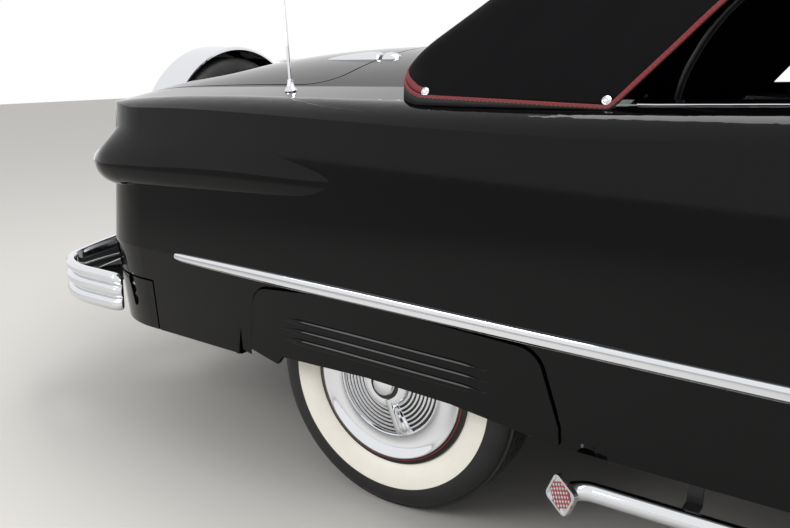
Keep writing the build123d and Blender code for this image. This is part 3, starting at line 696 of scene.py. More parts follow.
# A fastener's head: height and radius as shares of its size
HEAD_ROWS = ((0.0, 1.0), (0.12, 1.0), (0.2, 0.9), (0.22, 0.78), (0.42, 0.6), (0.52, 0.34), (0.56, 0.0))
HEAD_STEPS = 20


def stitch_bead():
    """One stitch: a small rounded bead, long side on X."""
    bm = bmesh.new()
    bmesh.ops.create_icosphere(bm, subdivisions=1, radius=0.5)
    bmesh.ops.scale(bm, vec=STITCH_SIZE, verts=bm.verts)
    mesh = bpy.data.meshes.new("stitch")
    bm.to_mesh(mesh)
    bm.free()
    return bpy.data.objects.new("stitch", mesh)


def domed_caps(name, places, ways, radius):
    """Bright round heads: each has a flat collar and a dome."""
    turns = [2 * pi * i / HEAD_STEPS for i in range(HEAD_STEPS)]
    verts = [(out, share * cos(turn), share * sin(turn)) for out, share in HEAD_ROWS for turn in turns]
    cap = bpy.data.objects.new("cap", mesh_from("cap", verts, ring_faces(len(HEAD_ROWS), HEAD_STEPS)))
    made = repeated(name, places, cap, "chrome", scale=radius, facing=ways)
    bpy.data.objects.remove(cap)
    return made


# Paint and plating of the panels

# Corners of the vent window's frame, the width of its bars and how square a face lies to the pane
VENT_CORNERS = ((2.088, 0.790, 1.072), (1.806, 0.800, 1.076), (1.806, 0.694, 1.398))
VENT_BAR, VENT_FLAT = 0.0132, 0.99


def inward_distance(point, a, b, middle, flat):
    """How far inside the edge from a to b a point lies."""
    inward = flat.cross(b - a).normalized()
    if inward.dot(middle - a) < 0:
        inward = -inward
    return inward.dot(point - a)


def glazed_vent(side, sign):
    """Vent window with its pane in glass and its frame in chrome."""
    mesh = frame["nodes"]["vent_window_" + side].data.copy()
    mesh.materials.clear()
    corners = [Vector(spot(s, sign * y, z)) for s, y, z in VENT_CORNERS]
    flat = (corners[1] - corners[0]).cross(corners[2] - corners[0]).normalized()
    middle = sum(corners, Vector()) / 3
    for face in mesh.polygons:
        inside = all(inward_distance(face.center, a, b, middle, flat) > VENT_BAR
                     for a, b in zip(corners, corners[1:] + corners[:1]))
        face.material_index = int(inside and abs(face.normal.dot(flat)) > VENT_FLAT)
    made = finish_piece("vent_pane_" + side, mesh, "door_" + side, materials=["chrome", "glass"],
                        smooth=False)
    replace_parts(made, "vent_window_" + side)


class CONV_OT_panels(bpy.types.Operator):
    """Finish the panels, the chassis and the bright parts"""
    bl_idname = "convertible.panels"
    bl_label = "Panels and chassis"

    def execute(self, context):
        for row in frame["record"]["subparts"]:
            dress(row["node"], row["material_slot"])
        for side, sign in SIDES:
            glazed_vent(side, sign)
        return {"FINISHED"}


# Wheels

# Carcass, from the inner bead round to the outer shoulder, as offsets outward and radii
TYRE_ROWS = (
    (-0.052, 0.206), (-0.066, 0.214), (-0.077, 0.240), (-0.0825, 0.268), (-0.083, 0.290), (-0.078, 0.312),
    (-0.068, 0.326), (-0.060, 0.331), (-0.04, 0.3325), (0.0, 0.333), (0.04, 0.3325), (0.060, 0.331),
    (0.068, 0.326), (0.078, 0.312), (0.083, 0.290),
)
# Rim flange and cover, from the flange in to the middle: black enamel, 1 red line, 2 chrome
COVER_ROWS = (
    (0.0500, 0.2040), (0.0610, 0.2190), (0.0650, 0.2185), (0.0680, 0.2165), (0.0690, 0.2120),
    (0.0705, 0.2080), (0.0714, 0.2062, 1), (0.0722, 0.2042), (0.0730, 0.2005, 2), (0.0762, 0.1995, 2),
    (0.0772, 0.1970, 2), (0.0755, 0.1925, 2), (0.0715, 0.1850, 2), (0.0682, 0.1760, 2),
    (0.0660, 0.1670, 2), (0.0650, 0.1580, 2), (0.0655, 0.1500, 2), (0.0675, 0.1455, 2),
    (0.0715, 0.1425, 2), (0.0728, 0.1400, 2), (0.0720, 0.1372, 2),
)
GROOVE_START, GROOVE_END = 0.1350, 0.0620
GROOVE_DEPTH, GROOVE_SHARE, GROOVE_LIP = 0.0026, 0.60, 0.0012
GROOVE_LEVEL, GROOVE_RISE = 0.0680, 0.003
HUB_ROWS = (
    (0.0720, 0.0610, 2), (0.0860, 0.0600, 2), (0.0895, 0.0580, 2), (0.0908, 0.0530, 2), (0.0908, 0.0450, 2),
    (0.0900, 0.0400), (0.0900, 0.0310, 2), (0.0950, 0.0300, 2), (0.1000, 0.0265, 2), (0.1030, 0.0180, 2),
    (0.1042, 0.0080, 2), (0.1045, 0.0, 2),
)
SPINNER_ANGLE, SPINNER_STEPS, SPINNER_FLUTES = 18, 14, 6
SPINNER_START, SPINNER_REACH = 0.040, 0.137
SPINNER_RIDGE, SPINNER_ROOT, SPINNER_FAN = 0.0105, 0.012, 0.032
SPINNER_FOOT, SPINNER_TOP, SPINNER_FALL, SPINNER_DIP = 0.067, 0.096, 0.012, 0.0024
# Ribs across the tread: middle of a rib and its half width, as offsets from the middle plane
TREAD_RIBS = ((-0.050, 0.0075), (-0.026, 0.0065), (0.0, 0.0075), (0.026, 0.0065), (0.050, 0.0075))
TREAD_TOP, TREAD_FOOT, ZIGZAG = 0.3398, 0.3315, 0.0045
TREAD_EDGE, TREAD_DROP = 0.050, 0.0022


def whitewall_rows():
    """Rows of a tyre with its white band between the radii that the user gives."""
    outer, inner = sizes().whitewall_outer, sizes().whitewall_inner
    return TYRE_ROWS + ((0.0822, outer), (0.0812, outer, 1), (0.0805, outer - 0.010, 1),
                        (0.0770, (outer + inner) / 2, 1), (0.0700, inner + 0.010, 1), (0.0625, inner, 1),
                        (0.0600, inner), (0.052, 0.206))


def groove_rows(count):
    """Concentric black-filled grooves across the cover's flat disc."""
    rows = []
    pitch = (GROOVE_START - GROOVE_END) / count
    for i in range(count):
        outer = GROOVE_START - i * pitch
        inner = outer - pitch * GROOVE_SHARE
        level = GROOVE_LEVEL + GROOVE_RISE * i / count
        rows += [(level, outer, 2), (level - GROOVE_DEPTH, outer - GROOVE_LIP),
                 (level - GROOVE_DEPTH, inner + GROOVE_LIP, 2), (level, inner, 2)]
    return rows


def spinner_profile(part):
    """Section of a spinner's arm at a share of its reach: a ridge and its fluted flank."""
    fan = SPINNER_ROOT + (SPINNER_FAN - SPINNER_ROOT) * part
    top = SPINNER_TOP - SPINNER_FALL * part - 0.08 * max(0.0, part - 0.9)
    ridge = SPINNER_RIDGE
    profile = [(-ridge, SPINNER_FOOT), (-ridge, top - 0.007), (-ridge * 0.75, top - 0.002),
               (-ridge * 0.3, top), (ridge * 0.2, top), (ridge * 0.55, top - 0.002)]
    for f in range(SPINNER_FLUTES + 1):
        share = f / SPINNER_FLUTES
        profile.append((ridge * 0.6 + (fan - ridge * 0.6) * share,
                        top - 0.004 - 0.012 * share - SPINNER_DIP * (f % 2)))
    return profile + [(fan, SPINNER_FOOT)]


def spinner(name, place, sign, body):
    """Flipper bar over the cover: two arms, each a bright ridge with a fluted flank that fans out."""
    verts, faces = [], []
    for arm in (0, 180):
        start = len(verts)
        turn = radians(arm + SPINNER_ANGLE)
        for part in steps_from(0, 1, SPINNER_STEPS):
            reach = SPINNER_START + (SPINNER_REACH - SPINNER_START) * part
            profile = spinner_profile(part)
            verts += [(place[0] + reach * sin(turn) + across * cos(turn), place[1] + sign * out,
                       place[2] - reach * cos(turn) + across * sin(turn)) for across, out in profile]
        count = len(profile)
        faces += ring_faces(SPINNER_STEPS + 1, count, start)
        faces.append(tuple(range(start, start + count)))
        faces.append(tuple(reversed(range(len(verts) - count, len(verts)))))
    solid(name, verts, faces, body)


def tread_unit(count):
    """One repeat of the tread: five ribs that zigzag, drawn about the wheel's middle with its spoke on X."""
    verts, faces = [], []
    step = 2 * pi / count
    for middle, half in TREAD_RIBS:
        start = len(verts)
        drop = TREAD_DROP * (abs(middle) / TREAD_EDGE) ** 2
        for i, shift in enumerate((-ZIGZAG, ZIGZAG, -ZIGZAG)):
            turn = step * (i / 2 - 0.5)
            across = middle + (shift if abs(middle) < TREAD_EDGE else 0.0)
            for out, radius in ((-half - 0.001, TREAD_FOOT), (-half, TREAD_TOP - drop),
                                (half, TREAD_TOP - drop), (half + 0.001, TREAD_FOOT)):
                verts.append((radius * cos(turn), across + out, radius * sin(turn)))
        faces += ring_faces(3, 4, start, closed=False)
        faces += [tuple(range(start, start + 4)), tuple(range(start + 8, start + 12))]
    return bpy.data.objects.new("tread_unit", mesh_from("tread_unit", verts, faces))


def tread(name, place, sign, body, unit):
    """Tread around a tyre, its units turned about the axle."""
    count = sizes().tread_units
    turns = [2 * pi * i / count for i in range(count)]
    repeated(name, [place] * count, unit, "tyre", body, pivot="Y",
             facing=[(-sign * cos(turn), 0, sin(turn)) for turn in turns])


class CONV_OT_wheels(bpy.types.Operator):
    """Make the whitewall tyres with their tread and the wheel covers"""
    bl_idname = "convertible.wheels"
    bl_label = "Wheels"

    def execute(self, context):
        unit = tread_unit(sizes().tread_units)
        cover = [*COVER_ROWS, *groove_rows(sizes().grooves), *HUB_ROWS]
        for corner, x in (("front_", AXLE_F), ("rear_", AXLE_R)):
            for side, sign in SIDES:
                corner_name = corner + side
                body = "wheel_" + corner_name
                place, axis = (x, sign * WHEEL_Y, HUB_Z), (0, sign, 0)
                tyre = lathe("whitewall_tyre_" + corner_name, whitewall_rows(), place, axis, body, "tyre",
                             ["tyre", "whitewall"], steps=128)
                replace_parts(tyre, "tyre_" + corner_name)
                tread("tread_" + corner_name, place, sign, body, unit)
                lathe("wheel_cover_" + corner_name, cover, place, axis, body, "chrome",
                      ["wheel_black", "stripe_red", "chrome"], steps=128)
                spinner("spinner_" + corner_name, place, sign, body)
                dress(body, "wheel_black")
        bpy.data.objects.remove(unit)
        return {"FINISHED"}


# Bright mouldings on the body sides

# Names that end in an underscore take their side. A run is its label, body, node, start and end.
SPEAR_LINE = ((-0.630, 0.583), (-0.52, 0.582), (0.0, 0.580), (0.40, 0.5773), (0.90, 0.574), (1.5, 0.572),
              (2.6, 0.572))
SPEAR_RUNS = (
    ("quarter", CHASSIS, "quarter_panels", -0.630, 0.998),
    ("door", "door_", "door_", 1.009, 2.151),
    ("fender", CHASSIS, "fender_", 2.163, 2.52),
)
# Section of the spear, as shares of its depth and half height, and its share of size along the tip
SPEAR_SECTION = ((0.40, -1), (0.62, -0.80), (1, -0.62), (1, 0.55), (0.8, 0.85), (0.4, 1))
SPEAR_TIP = ((0.0, 0.14), (0.003, 0.40), (0.010, 0.58), (0.03, 0.70), (0.15, 0.84), (0.40, 1.0))
SPEAR_STEPS, SPEAR_SMOOTHING = 48, 4
BELT_RUNS = (("quarter", CHASSIS, "quarter_panels", 0.56, 0.998), ("door", "door_", "door_", 1.009, 1.79))
BELT_Y, BELT_STEPS, BELT_INSET, BELT_LIFT, BELT_SIZE = 0.798, 24, 0.003, 0.0015, (0.007, 0.005)
# How deep a moulding's back is sunk into its panel, and how far inside its ends the panel is measured
SUNK, END_INSET = 0.002, 0.002
RIB_HEIGHTS, RIB_START, RIB_END, RIB_STEPS, RIB_FALL = (0.482, 0.456, 0.430), -0.25, 0.32, 32, 0.004
# A rib's section, and its share of size at the very end, from where it grows over this many steps
RIB_SIZE, RIB_TIP, RIB_GROWTH = (0.013, 0.017, 12), 0.15, 3


def named(word, side):
    """Name of a body or node; one that ends in an underscore takes its side."""
    return word + side if word.endswith("_") else word


def spear(side, sign, run):
    """One length of the side moulding, lying on the panel it is clipped to."""
    label, body, node, start, end = run
    height, depth = sizes().spear_height / 2, sizes().spear_depth
    tip = SPEAR_TIP if label == "quarter" else ((0.0, 1.0), (1.0, 1.0))
    marks = steps_from(start, end, SPEAR_STEPS)
    if label == "quarter":
        marks = sorted(set(marks + [start + d for d, _ in SPEAR_TIP[:4]]))
    line = curve_table(SPEAR_LINE)
    outs = []
    for s in marks:
        inside = min(max(s, start + END_INSET), end - END_INSET)
        outs.append(side_of(named(node, side), station(inside), table_value(line, s), sign))
    for _ in range(SPEAR_SMOOTHING):
        outs[1:-1] = [(a + 2 * b + c) / 4 for a, b, c in zip(outs, outs[1:], outs[2:])]
    points = [spot(s, sign * y, table_value(line, s)) for s, y in zip(marks, outs)]
    shares = [table_value(tip, s - start) for s in marks]
    if sign > 0:
        points.reverse()
        shares.reverse()
    profile = [(-SUNK, -height), *((depth * a, height * b) for a, b in SPEAR_SECTION), (-SUNK, height)]
    sweep("spear_" + label + "_" + side, points, profile, named(body, side), shares=shares)


def belt_strip(side, sign, run):
    """Bright strip along the window sill."""
    label, body, node, start, end = run
    points = []
    for s in steps_from(start, end, BELT_STEPS):
        inside = station(min(max(s, start + BELT_INSET), end - BELT_INSET))
        points.append(spot(s, sign * BELT_Y, height_of(named(node, side), inside, sign * BELT_Y) + BELT_LIFT))
    sweep("belt_strip_" + label + "_" + side, points, oval(*BELT_SIZE), named(body, side))


def skirt_ribs(side, sign):
    """Three pressed ribs along the fender skirt, run out at both ends."""
    for number, height in enumerate(RIB_HEIGHTS):
        points, shares = [], []
        for i, s in enumerate(steps_from(RIB_START, RIB_END, RIB_STEPS)):
            z = height - RIB_FALL * i / RIB_STEPS
            points.append(spot(s, sign * side_of("skirt_" + side, station(s), z, sign), z))
            shares.append(RIB_TIP + (1 - RIB_TIP) * smooth_step(min(i, RIB_STEPS - i) / RIB_GROWTH))
        sweep("skirt_rib_" + side + "_" + str(number + 1), points, oval(*RIB_SIZE), slot="black_paint",
              shares=shares)


class CONV_OT_mouldings(bpy.types.Operator):
    """Lay the side spears and the sill strips on the panels"""
    bl_idname = "convertible.mouldings"
    bl_label = "Mouldings"

    def execute(self, context):
        for side, sign in SIDES:
            for run in SPEAR_RUNS:
                spear(side, sign, run)
            for run in BELT_RUNS:
                belt_strip(side, sign, run)
            skirt_ribs(side, sign)
        return {"FINISHED"}


# Soft top

TOP_LINE = ((0.0, 1.0732), (0.12, 1.169), (0.222, 1.2504), (0.32, 1.328), (0.40, 1.388), (0.52, 1.455),
            (0.66, 1.512), (0.80, 1.549), (1.0, 1.571), (1.2, 1.575), (1.4, 1.568), (1.6, 1.549),
            (1.75, 1.527), (1.884, 1.499))
# Lower edge of the cloth: along the body, round the front corner and up over the side window
EDGE_LINE = ((0.0, 1.083), (0.004, 1.077), (0.015, 1.066), (0.035, 1.052), (0.06, 1.040), (0.085, 1.0335),
             (0.11, 1.031), (0.30, 1.031), (0.495, 1.031), (0.512, 1.033), (0.526, 1.044), (0.562, 1.086),
             (0.622, 1.156), (0.687, 1.232), (0.76, 1.306), (0.85, 1.379), (0.96, 1.428), (1.1, 1.434),
             (1.5, 1.443), (1.884, 1.423))
CROWN_DROP, CROWN_HALF = ((0.0, 0.0), (0.25, 0.0), (0.5, 0.025), (0.8, 0.052), (1.884, 0.048)), 0.54
SHOULDER_ROUND = ((0.0, 0.03), (0.3, 0.05), (0.6, 0.10), (0.85, 0.13), (1.884, 0.13))
SIDE_Y, SIDE_Z, SIDE_LEAN = 0.812, 1.06, 0.4118
SIDE_NORMAL, NORMAL_TURN = (0.9247, 0.3808), 1.18
REAR_CORNER, REAR_FULLNESS = 0.10, 0.016
BOWS = (0.32, 0.80, 1.20, 1.58, 1.884)
WINDOW_PLACE, WINDOW_SLOPE = (0.222, 1.250), (0.7815, 0.6240)
WINDOW_SIZE, WINDOW_CORNER, WINDOW_STEPS = (0.694, 0.230), 0.06, 10
# Steps of a half section over the crown, round the shoulder and down the side
CROWN_STEPS, ROUND_STEPS, FLAT_STEPS = 16, 8, 16
# Depths of the cloth's sag between bows, its unevenness, its drag lines and its folds
SAG, UNEVEN, DRAG, FOLD = 0.007, 0.0022, 0.0011, 0.0016
DRAG_PITCH, DRAG_REACH, FOLD_PITCH = 0.075, 0.12, 0.19
SNAP_PLACES = ((0.102, 1.047), (0.506, 1.049))
HEM_END, FLAP_END = 0.53, 0.102
LIFT_ARM = ((0.60, 0.70, 1.02), (0.63, 0.715, 1.12), (0.70, 0.70, 1.235), (0.86, 0.66, 1.375))
TOP_CURVE, EDGE_CURVE = curve_table(TOP_LINE), curve_table(EDGE_LINE)
# Distances in from the cloth's edge and off the cloth: the welt, its two rows of stitches and the corner flap
WELT_PLACE, STITCH_PLACES, FLAP_PLACE = (0.0045, 0.0012), ((0.0018, 0.0037), (0.0074, 0.0037)), (0.019, 0.001)
# Widths and thicknesses
CLOTH_THICK, HEM_THICK, WELT_THICK, REAR_WELT_THICK = 0.0035, 0.005, 0.0048, 0.005
FLAP_SIZE, BINDING_SIZE, SEAM_SIZE = (0.015, 0.004), (0.016, 0.007), (0.014, 0.0032)
BOW_SIZE, RAIL_SIZE, ARM_SIZE = (0.034, 0.014), (0.020, 0.026), (0.012, 0.030)
# The roof seam's first station, step and number of points, its place across and how much it spreads
SEAM_START, SEAM_STEP, SEAM_POINTS, SEAM_Y, SEAM_SPREAD = 0.09, 0.03, 60, 0.43, 0.05
# The side rail's first station, step and number of points, its height over the cloth's edge and its inset
RAIL_START, RAIL_STEP, RAIL_POINTS, RAIL_LIFT, RAIL_INSET = 0.70, 0.04, 29, 0.008, 0.022
# How far a bow lies under the cloth, and the height where its ends stop
BOW_DEPTH, BOW_FOOT = 0.019, 1.435


def top_side(z, s):
    """Half width of the top's flat side at a height, drawn in at the rounded rear corner."""
    short = max(0.0, REAR_CORNER - s)
    return SIDE_Y - SIDE_LEAN * (z - SIDE_Z) - (REAR_CORNER - sqrt(max(0.0, REAR_CORNER ** 2 - short ** 2)))


def roof_height(s, y):
    """Height of the cloth over a place, before its shoulder is rounded."""
    fullness = REAR_FULLNESS * smooth_step((abs(y) - 0.38) / 0.25) * (1 - smooth_step((s - 0.25) / 0.2))
    return table_value(TOP_CURVE, s) - table_value(CROWN_DROP, s) * (y / CROWN_HALF) ** 2 + fullness


def top_section(s):
    """Half section from the middle to the lower edge, as (y, z, turn of the normal from upright)."""
    y = 0.6
    for _ in range(20):
        y = top_side(roof_height(s, y), s)
    corner = Vector((y, roof_height(s, y)))
    edge = min(table_value(EDGE_CURVE, s), corner.y - 0.003)
    down = Vector((SIDE_LEAN, -1)).normalized()
    rounding = min(table_value(SHOULDER_ROUND, s), 0.85 * (corner.y - edge) / -down.y)
    before = Vector((y - rounding, roof_height(s, y - rounding)))
    after = corner + down * rounding
    rows = [(across, roof_height(s, across), 0.0) for across in steps_from(0, before.x, CROWN_STEPS)]
    for t in steps_from(0, 1, ROUND_STEPS)[1:]:
        place = before * (1 - t) ** 2 + corner * 2 * t * (1 - t) + after * t * t
        rows.append((place.x, place.y, NORMAL_TURN * t))
    return rows + [(top_side(z, s), z, NORMAL_TURN) for z in steps_from(after.y, edge, FLAT_STEPS)[1:]]


def cloth_relief(s, y, z, turn):
    """How far the cloth stands in or out: sag between bows, drag lines from the hem, small unevenness."""
    sag = 0.0
    for a, b in zip(BOWS, BOWS[1:]):
        if a < s < b:
            sag = SAG * sin(pi * (s - a) / (b - a)) ** 2
    flank = turn / NORMAL_TURN
    above = z - table_value(EDGE_CURVE, s)
    rest = unevenness(Vector((s * 6, y * 4, z * 4))) * UNEVEN
    drag = DRAG * sin(2 * pi * (s / DRAG_PITCH + z / 0.35)) * max(0.0, 1 - above / DRAG_REACH) * flank
    fold = FOLD * sin(2 * pi * (s - z * 0.8) / FOLD_PITCH) * smooth_step((above - 0.05) / 0.2) * flank
    return rest + drag + fold - sag * (1 - 0.7 * flank)


def top_marks():
    """Stations of the cloth's rows, closer where it curves."""
    marks = {round(REAR_CORNER * (1 - cos(pi / 2 * i / 14)), 5) for i in range(15)}
    marks |= {round(0.10 + 0.012 * i, 5) for i in range(68)}
    marks |= {round(0.916 + 0.0242 * i, 5) for i in range(41)}
    return sorted(marks | {s for s, _ in EDGE_LINE})


def top_rows():
    """Rows of points of the cloth, from right to left."""
    rows = []
    for s in top_marks():
        right, left = [], []
        for y, z, turn in top_section(s):
            for sign, half in ((-1, right), (1, left)):
                out = cloth_relief(s, sign * y, z, turn)
                half.append(spot(s, sign * (y + out * sin(turn)), z + out * cos(turn)))
        rows.append(right[::-1] + left[1:])
    return rows


def rounded_window(grow):
    """Outline of the rear window in its own plane, from its middle."""
    half_w, half_h = WINDOW_SIZE[0] / 2 + grow, WINDOW_SIZE[1] / 2 + grow
    radius = WINDOW_CORNER + grow
    outline = []
    for quarter, (cx, cy) in enumerate(((1, 1), (-1, 1), (-1, -1), (1, -1))):
        for i in range(WINDOW_STEPS + 1):
            turn = pi / 2 * (quarter + i / WINDOW_STEPS)
            outline.append((cx * (half_w - radius) + radius * cos(turn),
                            cy * (half_h - radius) + radius * sin(turn)))
    return outline


def window_point(across, up, out):
    """Place of a point of the rear window's plane."""
    run, rise = WINDOW_SLOPE
    s, z = WINDOW_PLACE
    return Vector(spot(s + up * run - out * rise, across, z + up * rise + out * run))


def soft_top_cloth():
    """One sheet of canvas over the bows, with the rear window cut out."""
    mesh = grid_mesh("top_canvas", top_rows(), (0, 0, 1))
    area = sum(face.area for face in mesh.polygons) - WINDOW_SIZE[0] * WINDOW_SIZE[1]
    cloth = finish_piece("top_canvas", mesh, slot="canvas")
    outline = rounded_window(0.0)
    count = len(outline)
    verts = [window_point(a, b, out) for out in (-0.08, 0.08) for a, b in outline]
    faces = ring_faces(2, count) + [tuple(range(count)), tuple(range(count, 2 * count))]
    cutter = bpy.data.objects.new("window_cutter", mesh_from("window_cutter", verts, faces))
    bpy.context.collection.objects.link(cutter)
    applied(cloth, ("SOLIDIFY", {"thickness": CLOTH_THICK, "offset": -1}),
            ("BOOLEAN", {"object": cutter, "operation": "DIFFERENCE", "solver": "EXACT"}))
    bpy.data.objects.remove(cutter)
    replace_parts(cloth, "soft_top")
    return cloth, area


def edge_path(sign):
    """Lower edge of the cloth on one side, from the rear corner to the windshield, with its normals."""
    places, ways = [], []
    for s in top_marks():
        y, z, _ = top_section(s)[-1]
        places.append(Vector(spot(s, sign * y, z)))
        back = -0.95 * smooth_step((REAR_CORNER - s) / REAR_CORNER)
        ways.append(Vector((back, sign * SIDE_NORMAL[0] * (1 + back * 0.6), SIDE_NORMAL[1])).normalized())
    return places, ways


def deck_height(s, y):
    """Height of the deck under a place of the cloth's rear edge."""
    return height_of("quarter_panels", station(s), y) or 1.0


def rear_path():
    """Edge of the cloth across the rear, where it meets the deck or stands on its hem."""
    places = []
    reach = top_section(0.0)[-1][0]
    for y in steps_from(-reach, reach, 60):
        low, high = 0.0, 0.14
        if roof_height(0.0, y) < deck_height(0.0, y):
            for _ in range(24):
                middle = (low + high) / 2
                if roof_height(middle, y) < deck_height(middle, y) + 0.001:
                    low = middle
                else:
                    high = middle
        places.append(Vector(spot(low, y, roof_height(low, y))))
    return places


def moved_path(places, ways, sign, inward, outward):
    """Path moved within the cloth's plane and off it."""
    moved = []
    for i, (place, way) in enumerate(zip(places, ways)):
        ahead = (places[min(i + 1, len(places) - 1)] - places[max(i - 1, 0)]).normalized()
        moved.append(place + ahead.cross(way) * sign * inward + way * outward)
    return moved


def hem_strip(name, places):
    """Black hem from the cloth's edge down to the panel under it."""
    top, low = [], []
    for place in places:
        ground = height_of("quarter_panels", place.x, place.y)
        if ground is None or ground > place.z - 0.001:
            ground = place.z - 0.001
        top.append(place + Vector((0, 0, 0.004)))
        low.append(Vector((place.x, place.y, ground + 0.0005)))
    made = finish_piece(name, grid_mesh(name, [top, low]), slot="canvas", materials=["canvas_flat"])
    return applied(made, ("SOLIDIFY", {"thickness": HEM_THICK, "offset": 0}))


def stitch_lines(name, paths):
    """Rows of stitches along paths."""
    points, edges = [], []
    for path in paths:
        edges += [(len(points) + i, len(points) + i + 1) for i in range(len(path) - 1)]
        points += path
    bead = stitch_bead()
    made = repeated(name, points, bead, "thread", edges=edges, spacing=sizes().stitch_pitch)
    bpy.data.objects.remove(bead)
    return made


def snap_fasteners():
    """Bright snaps at the ends of the quarter's hem."""
    places, ways = [], []
    for s, z in SNAP_PLACES:
        for sign in (-1, 1):
            places.append(spot(s, sign * (top_side(z, s) + 0.001), z))
            ways.append((0, sign * SIDE_NORMAL[0], SIDE_NORMAL[1]))
    return domed_caps("snap_fasteners", places, ways, sizes().snap_radius)


def roof_seam(side, sign):
    """Lapped seam that runs back over the roof and down the rear slope."""
    points = []
    for s in [SEAM_START + SEAM_STEP * i for i in range(SEAM_POINTS)]:
        y = SEAM_Y + SEAM_SPREAD * smooth_step((s - 0.3) / 1.4)
        height = roof_height(s, y)
        points.append(spot(s, sign * y, height + cloth_relief(s, sign * y, height, 0.0) + 0.0004))
    return sweep("roof_seam_" + side, points, oval(*SEAM_SIZE), slot="canvas", materials=["canvas_flat"])


class CONV_OT_soft_top(bpy.types.Operator):
    """Stretch the canvas over its bows and bind its edges"""
    bl_idname = "convertible.soft_top"
    bl_label = "Soft top"

    def execute(self, context):
        cloth, area = soft_top_cloth()
        wide = sizes().welt_width
        extras = []
        stitched = []
        welt = {"slot": "canvas", "materials": ["welt"]}
        for side, sign in SIDES:
            places, ways = edge_path(sign)
            along = moved_path(places, ways, sign, *WELT_PLACE)
            extras.append(sweep("edge_welt_" + side, along, oval(wide, WELT_THICK), up=ways, **welt))
            extras.append(hem_strip("side_hem_" + side, [p for p in places if p.x < station(HEM_END)]))
            stitched += [moved_path(places, ways, sign, *place) for place in STITCH_PLACES]
            corner = sum(p.x < station(FLAP_END) for p in places)
            flap = moved_path(places[:corner], ways[:corner], sign, *FLAP_PLACE)
            extras.append(sweep("corner_flap_" + side, flap, oval(*FLAP_SIZE), up=ways[:corner], **welt))
        rear = rear_path()
        slope_up = (-WINDOW_SLOPE[1], 0, WINDOW_SLOPE[0])
        extras.append(sweep("rear_welt", rear, oval(wide, REAR_WELT_THICK), up=slope_up, **welt))
        extras.append(hem_strip("rear_hem", rear))
        ring = [window_point(a, b, 0.001) for a, b in rounded_window(0.004)]
        extras.append(sweep("window_binding", ring + ring[:2], oval(*BINDING_SIZE), slot="canvas",
                            materials=["canvas_flat"], up=slope_up))
        extras.append(stitch_lines("welt_stitches", stitched))
        extras.append(snap_fasteners())
        extras += [roof_seam(side, sign) for side, sign in SIDES]
        return {"FINISHED"}


def bow_points(s):
    """Line of a bow just under the cloth, down to the side rails."""
    half = [(y, z) for y, z, _ in top_section(s) if z > max(BOW_FOOT, table_value(EDGE_CURVE, s))]
    line = [(-y + 0.012 * (i > CROWN_STEPS + 1), z - BOW_DEPTH) for i, (y, z) in enumerate(half)][::-1]
    return [spot(s, y, z) for y, z in line + [(-y, z) for y, z in line[-2::-1]]]


class CONV_OT_bows(bpy.types.Operator):
    """Set the bows, side rails and lift arms under the canvas"""
    bl_idname = "convertible.bows"
    bl_label = "Bows"

    def execute(self, context):
        for number, s in enumerate(BOWS[1:4]):
            sweep("roof_bow_" + str(number + 1), bow_points(s), oval(*BOW_SIZE), slot="chassis_black",
                  up=(1, 0, 0))
        for side, sign in SIDES:
            rail = []
            for s in [RAIL_START + RAIL_STEP * i for i in range(RAIL_POINTS)]:
                z = table_value(EDGE_CURVE, s) + RAIL_LIFT
                rail.append(spot(s, sign * (top_side(z, s) - RAIL_INSET), z))
            sweep("side_rail_" + side, rail, oval(*RAIL_SIZE), slot="chassis_black")
            sweep("lift_arm_" + side, smooth_path([spot(s, sign * y, z) for s, y, z in LIFT_ARM], 6),
                  oval(*ARM_SIZE), slot="chassis_black", up=(0, 1, 0))
        return {"FINISHED"}


# Lamps, hinges and other bright parts

# Lamp pod: station, how far out it reaches, middle height, reach up and down, softness of its upper side
POD_ROWS = (
    (-1.000, 0.829, 0.799, 0.035, 0.034, 0.40), (-0.985, 0.837, 0.800, 0.046, 0.036, 0.50),
    (-0.950, 0.865, 0.801, 0.078, 0.050, 0.80), (-0.900, 0.884, 0.803, 0.110, 0.057, 1.50),
    (-0.820, 0.8905, 0.805, 0.125, 0.050, 2.20), (-0.700, 0.8900, 0.808, 0.130, 0.046, 2.40),
    (-0.600, 0.8865, 0.811, 0.130, 0.043, 2.40), (-0.500, 0.8855, 0.814, 0.125, 0.040, 2.40),
    (-0.400, 0.8860, 0.816, 0.115, 0.037, 2.40), (-0.300, 0.8865, 0.818, 0.100, 0.034, 2.40),
    (-0.200, 0.8850, 0.819, 0.080, 0.032, 2.40), (-0.100, 0.8835, 0.820, 0.060, 0.030, 2.40),
    (0.000, 0.8840, 0.820, 0.040, 0.030, 2.40),
)
POD_INNER, POD_STEPS = 0.761, 28
# The quarter's side: a height where it is measured, and how much it leans out below that
SIDE_HEIGHT, SIDE_SLOPE = 0.92, 0.054
# Rear bumper: its line in plan and its section as (out, up) from the line, top lip first, then two fat ribs
BUMPER_END, BUMPER_MIDDLE, BUMPER_SIDE, BUMPER_HEIGHT = -0.880, -1.385, 0.863, 0.428
BUMPER_CORNER, BUMPER_BOW = 0.230, 24
BUMPER_SECTION = (
    (-0.010, 0.050), (-0.006, 0.0575), (0.003, 0.0590), (0.012, 0.0560), (0.0175, 0.0490), (0.0175, 0.0400),
    (0.0120, 0.0320), (0.0040, 0.0280), (0.0040, 0.0255), (0.0120, 0.0215), (0.0175, 0.0140),
    (0.0180, 0.0060), (0.0160, -0.0030), (0.0100, -0.0100), (0.0040, -0.0130), (0.0040, -0.0155),
    (0.0110, -0.0190), (0.0165, -0.0270), (0.0170, -0.0370), (0.0140, -0.0470), (0.0070, -0.0545),
    (-0.004, -0.0580), (-0.010, -0.052),
)
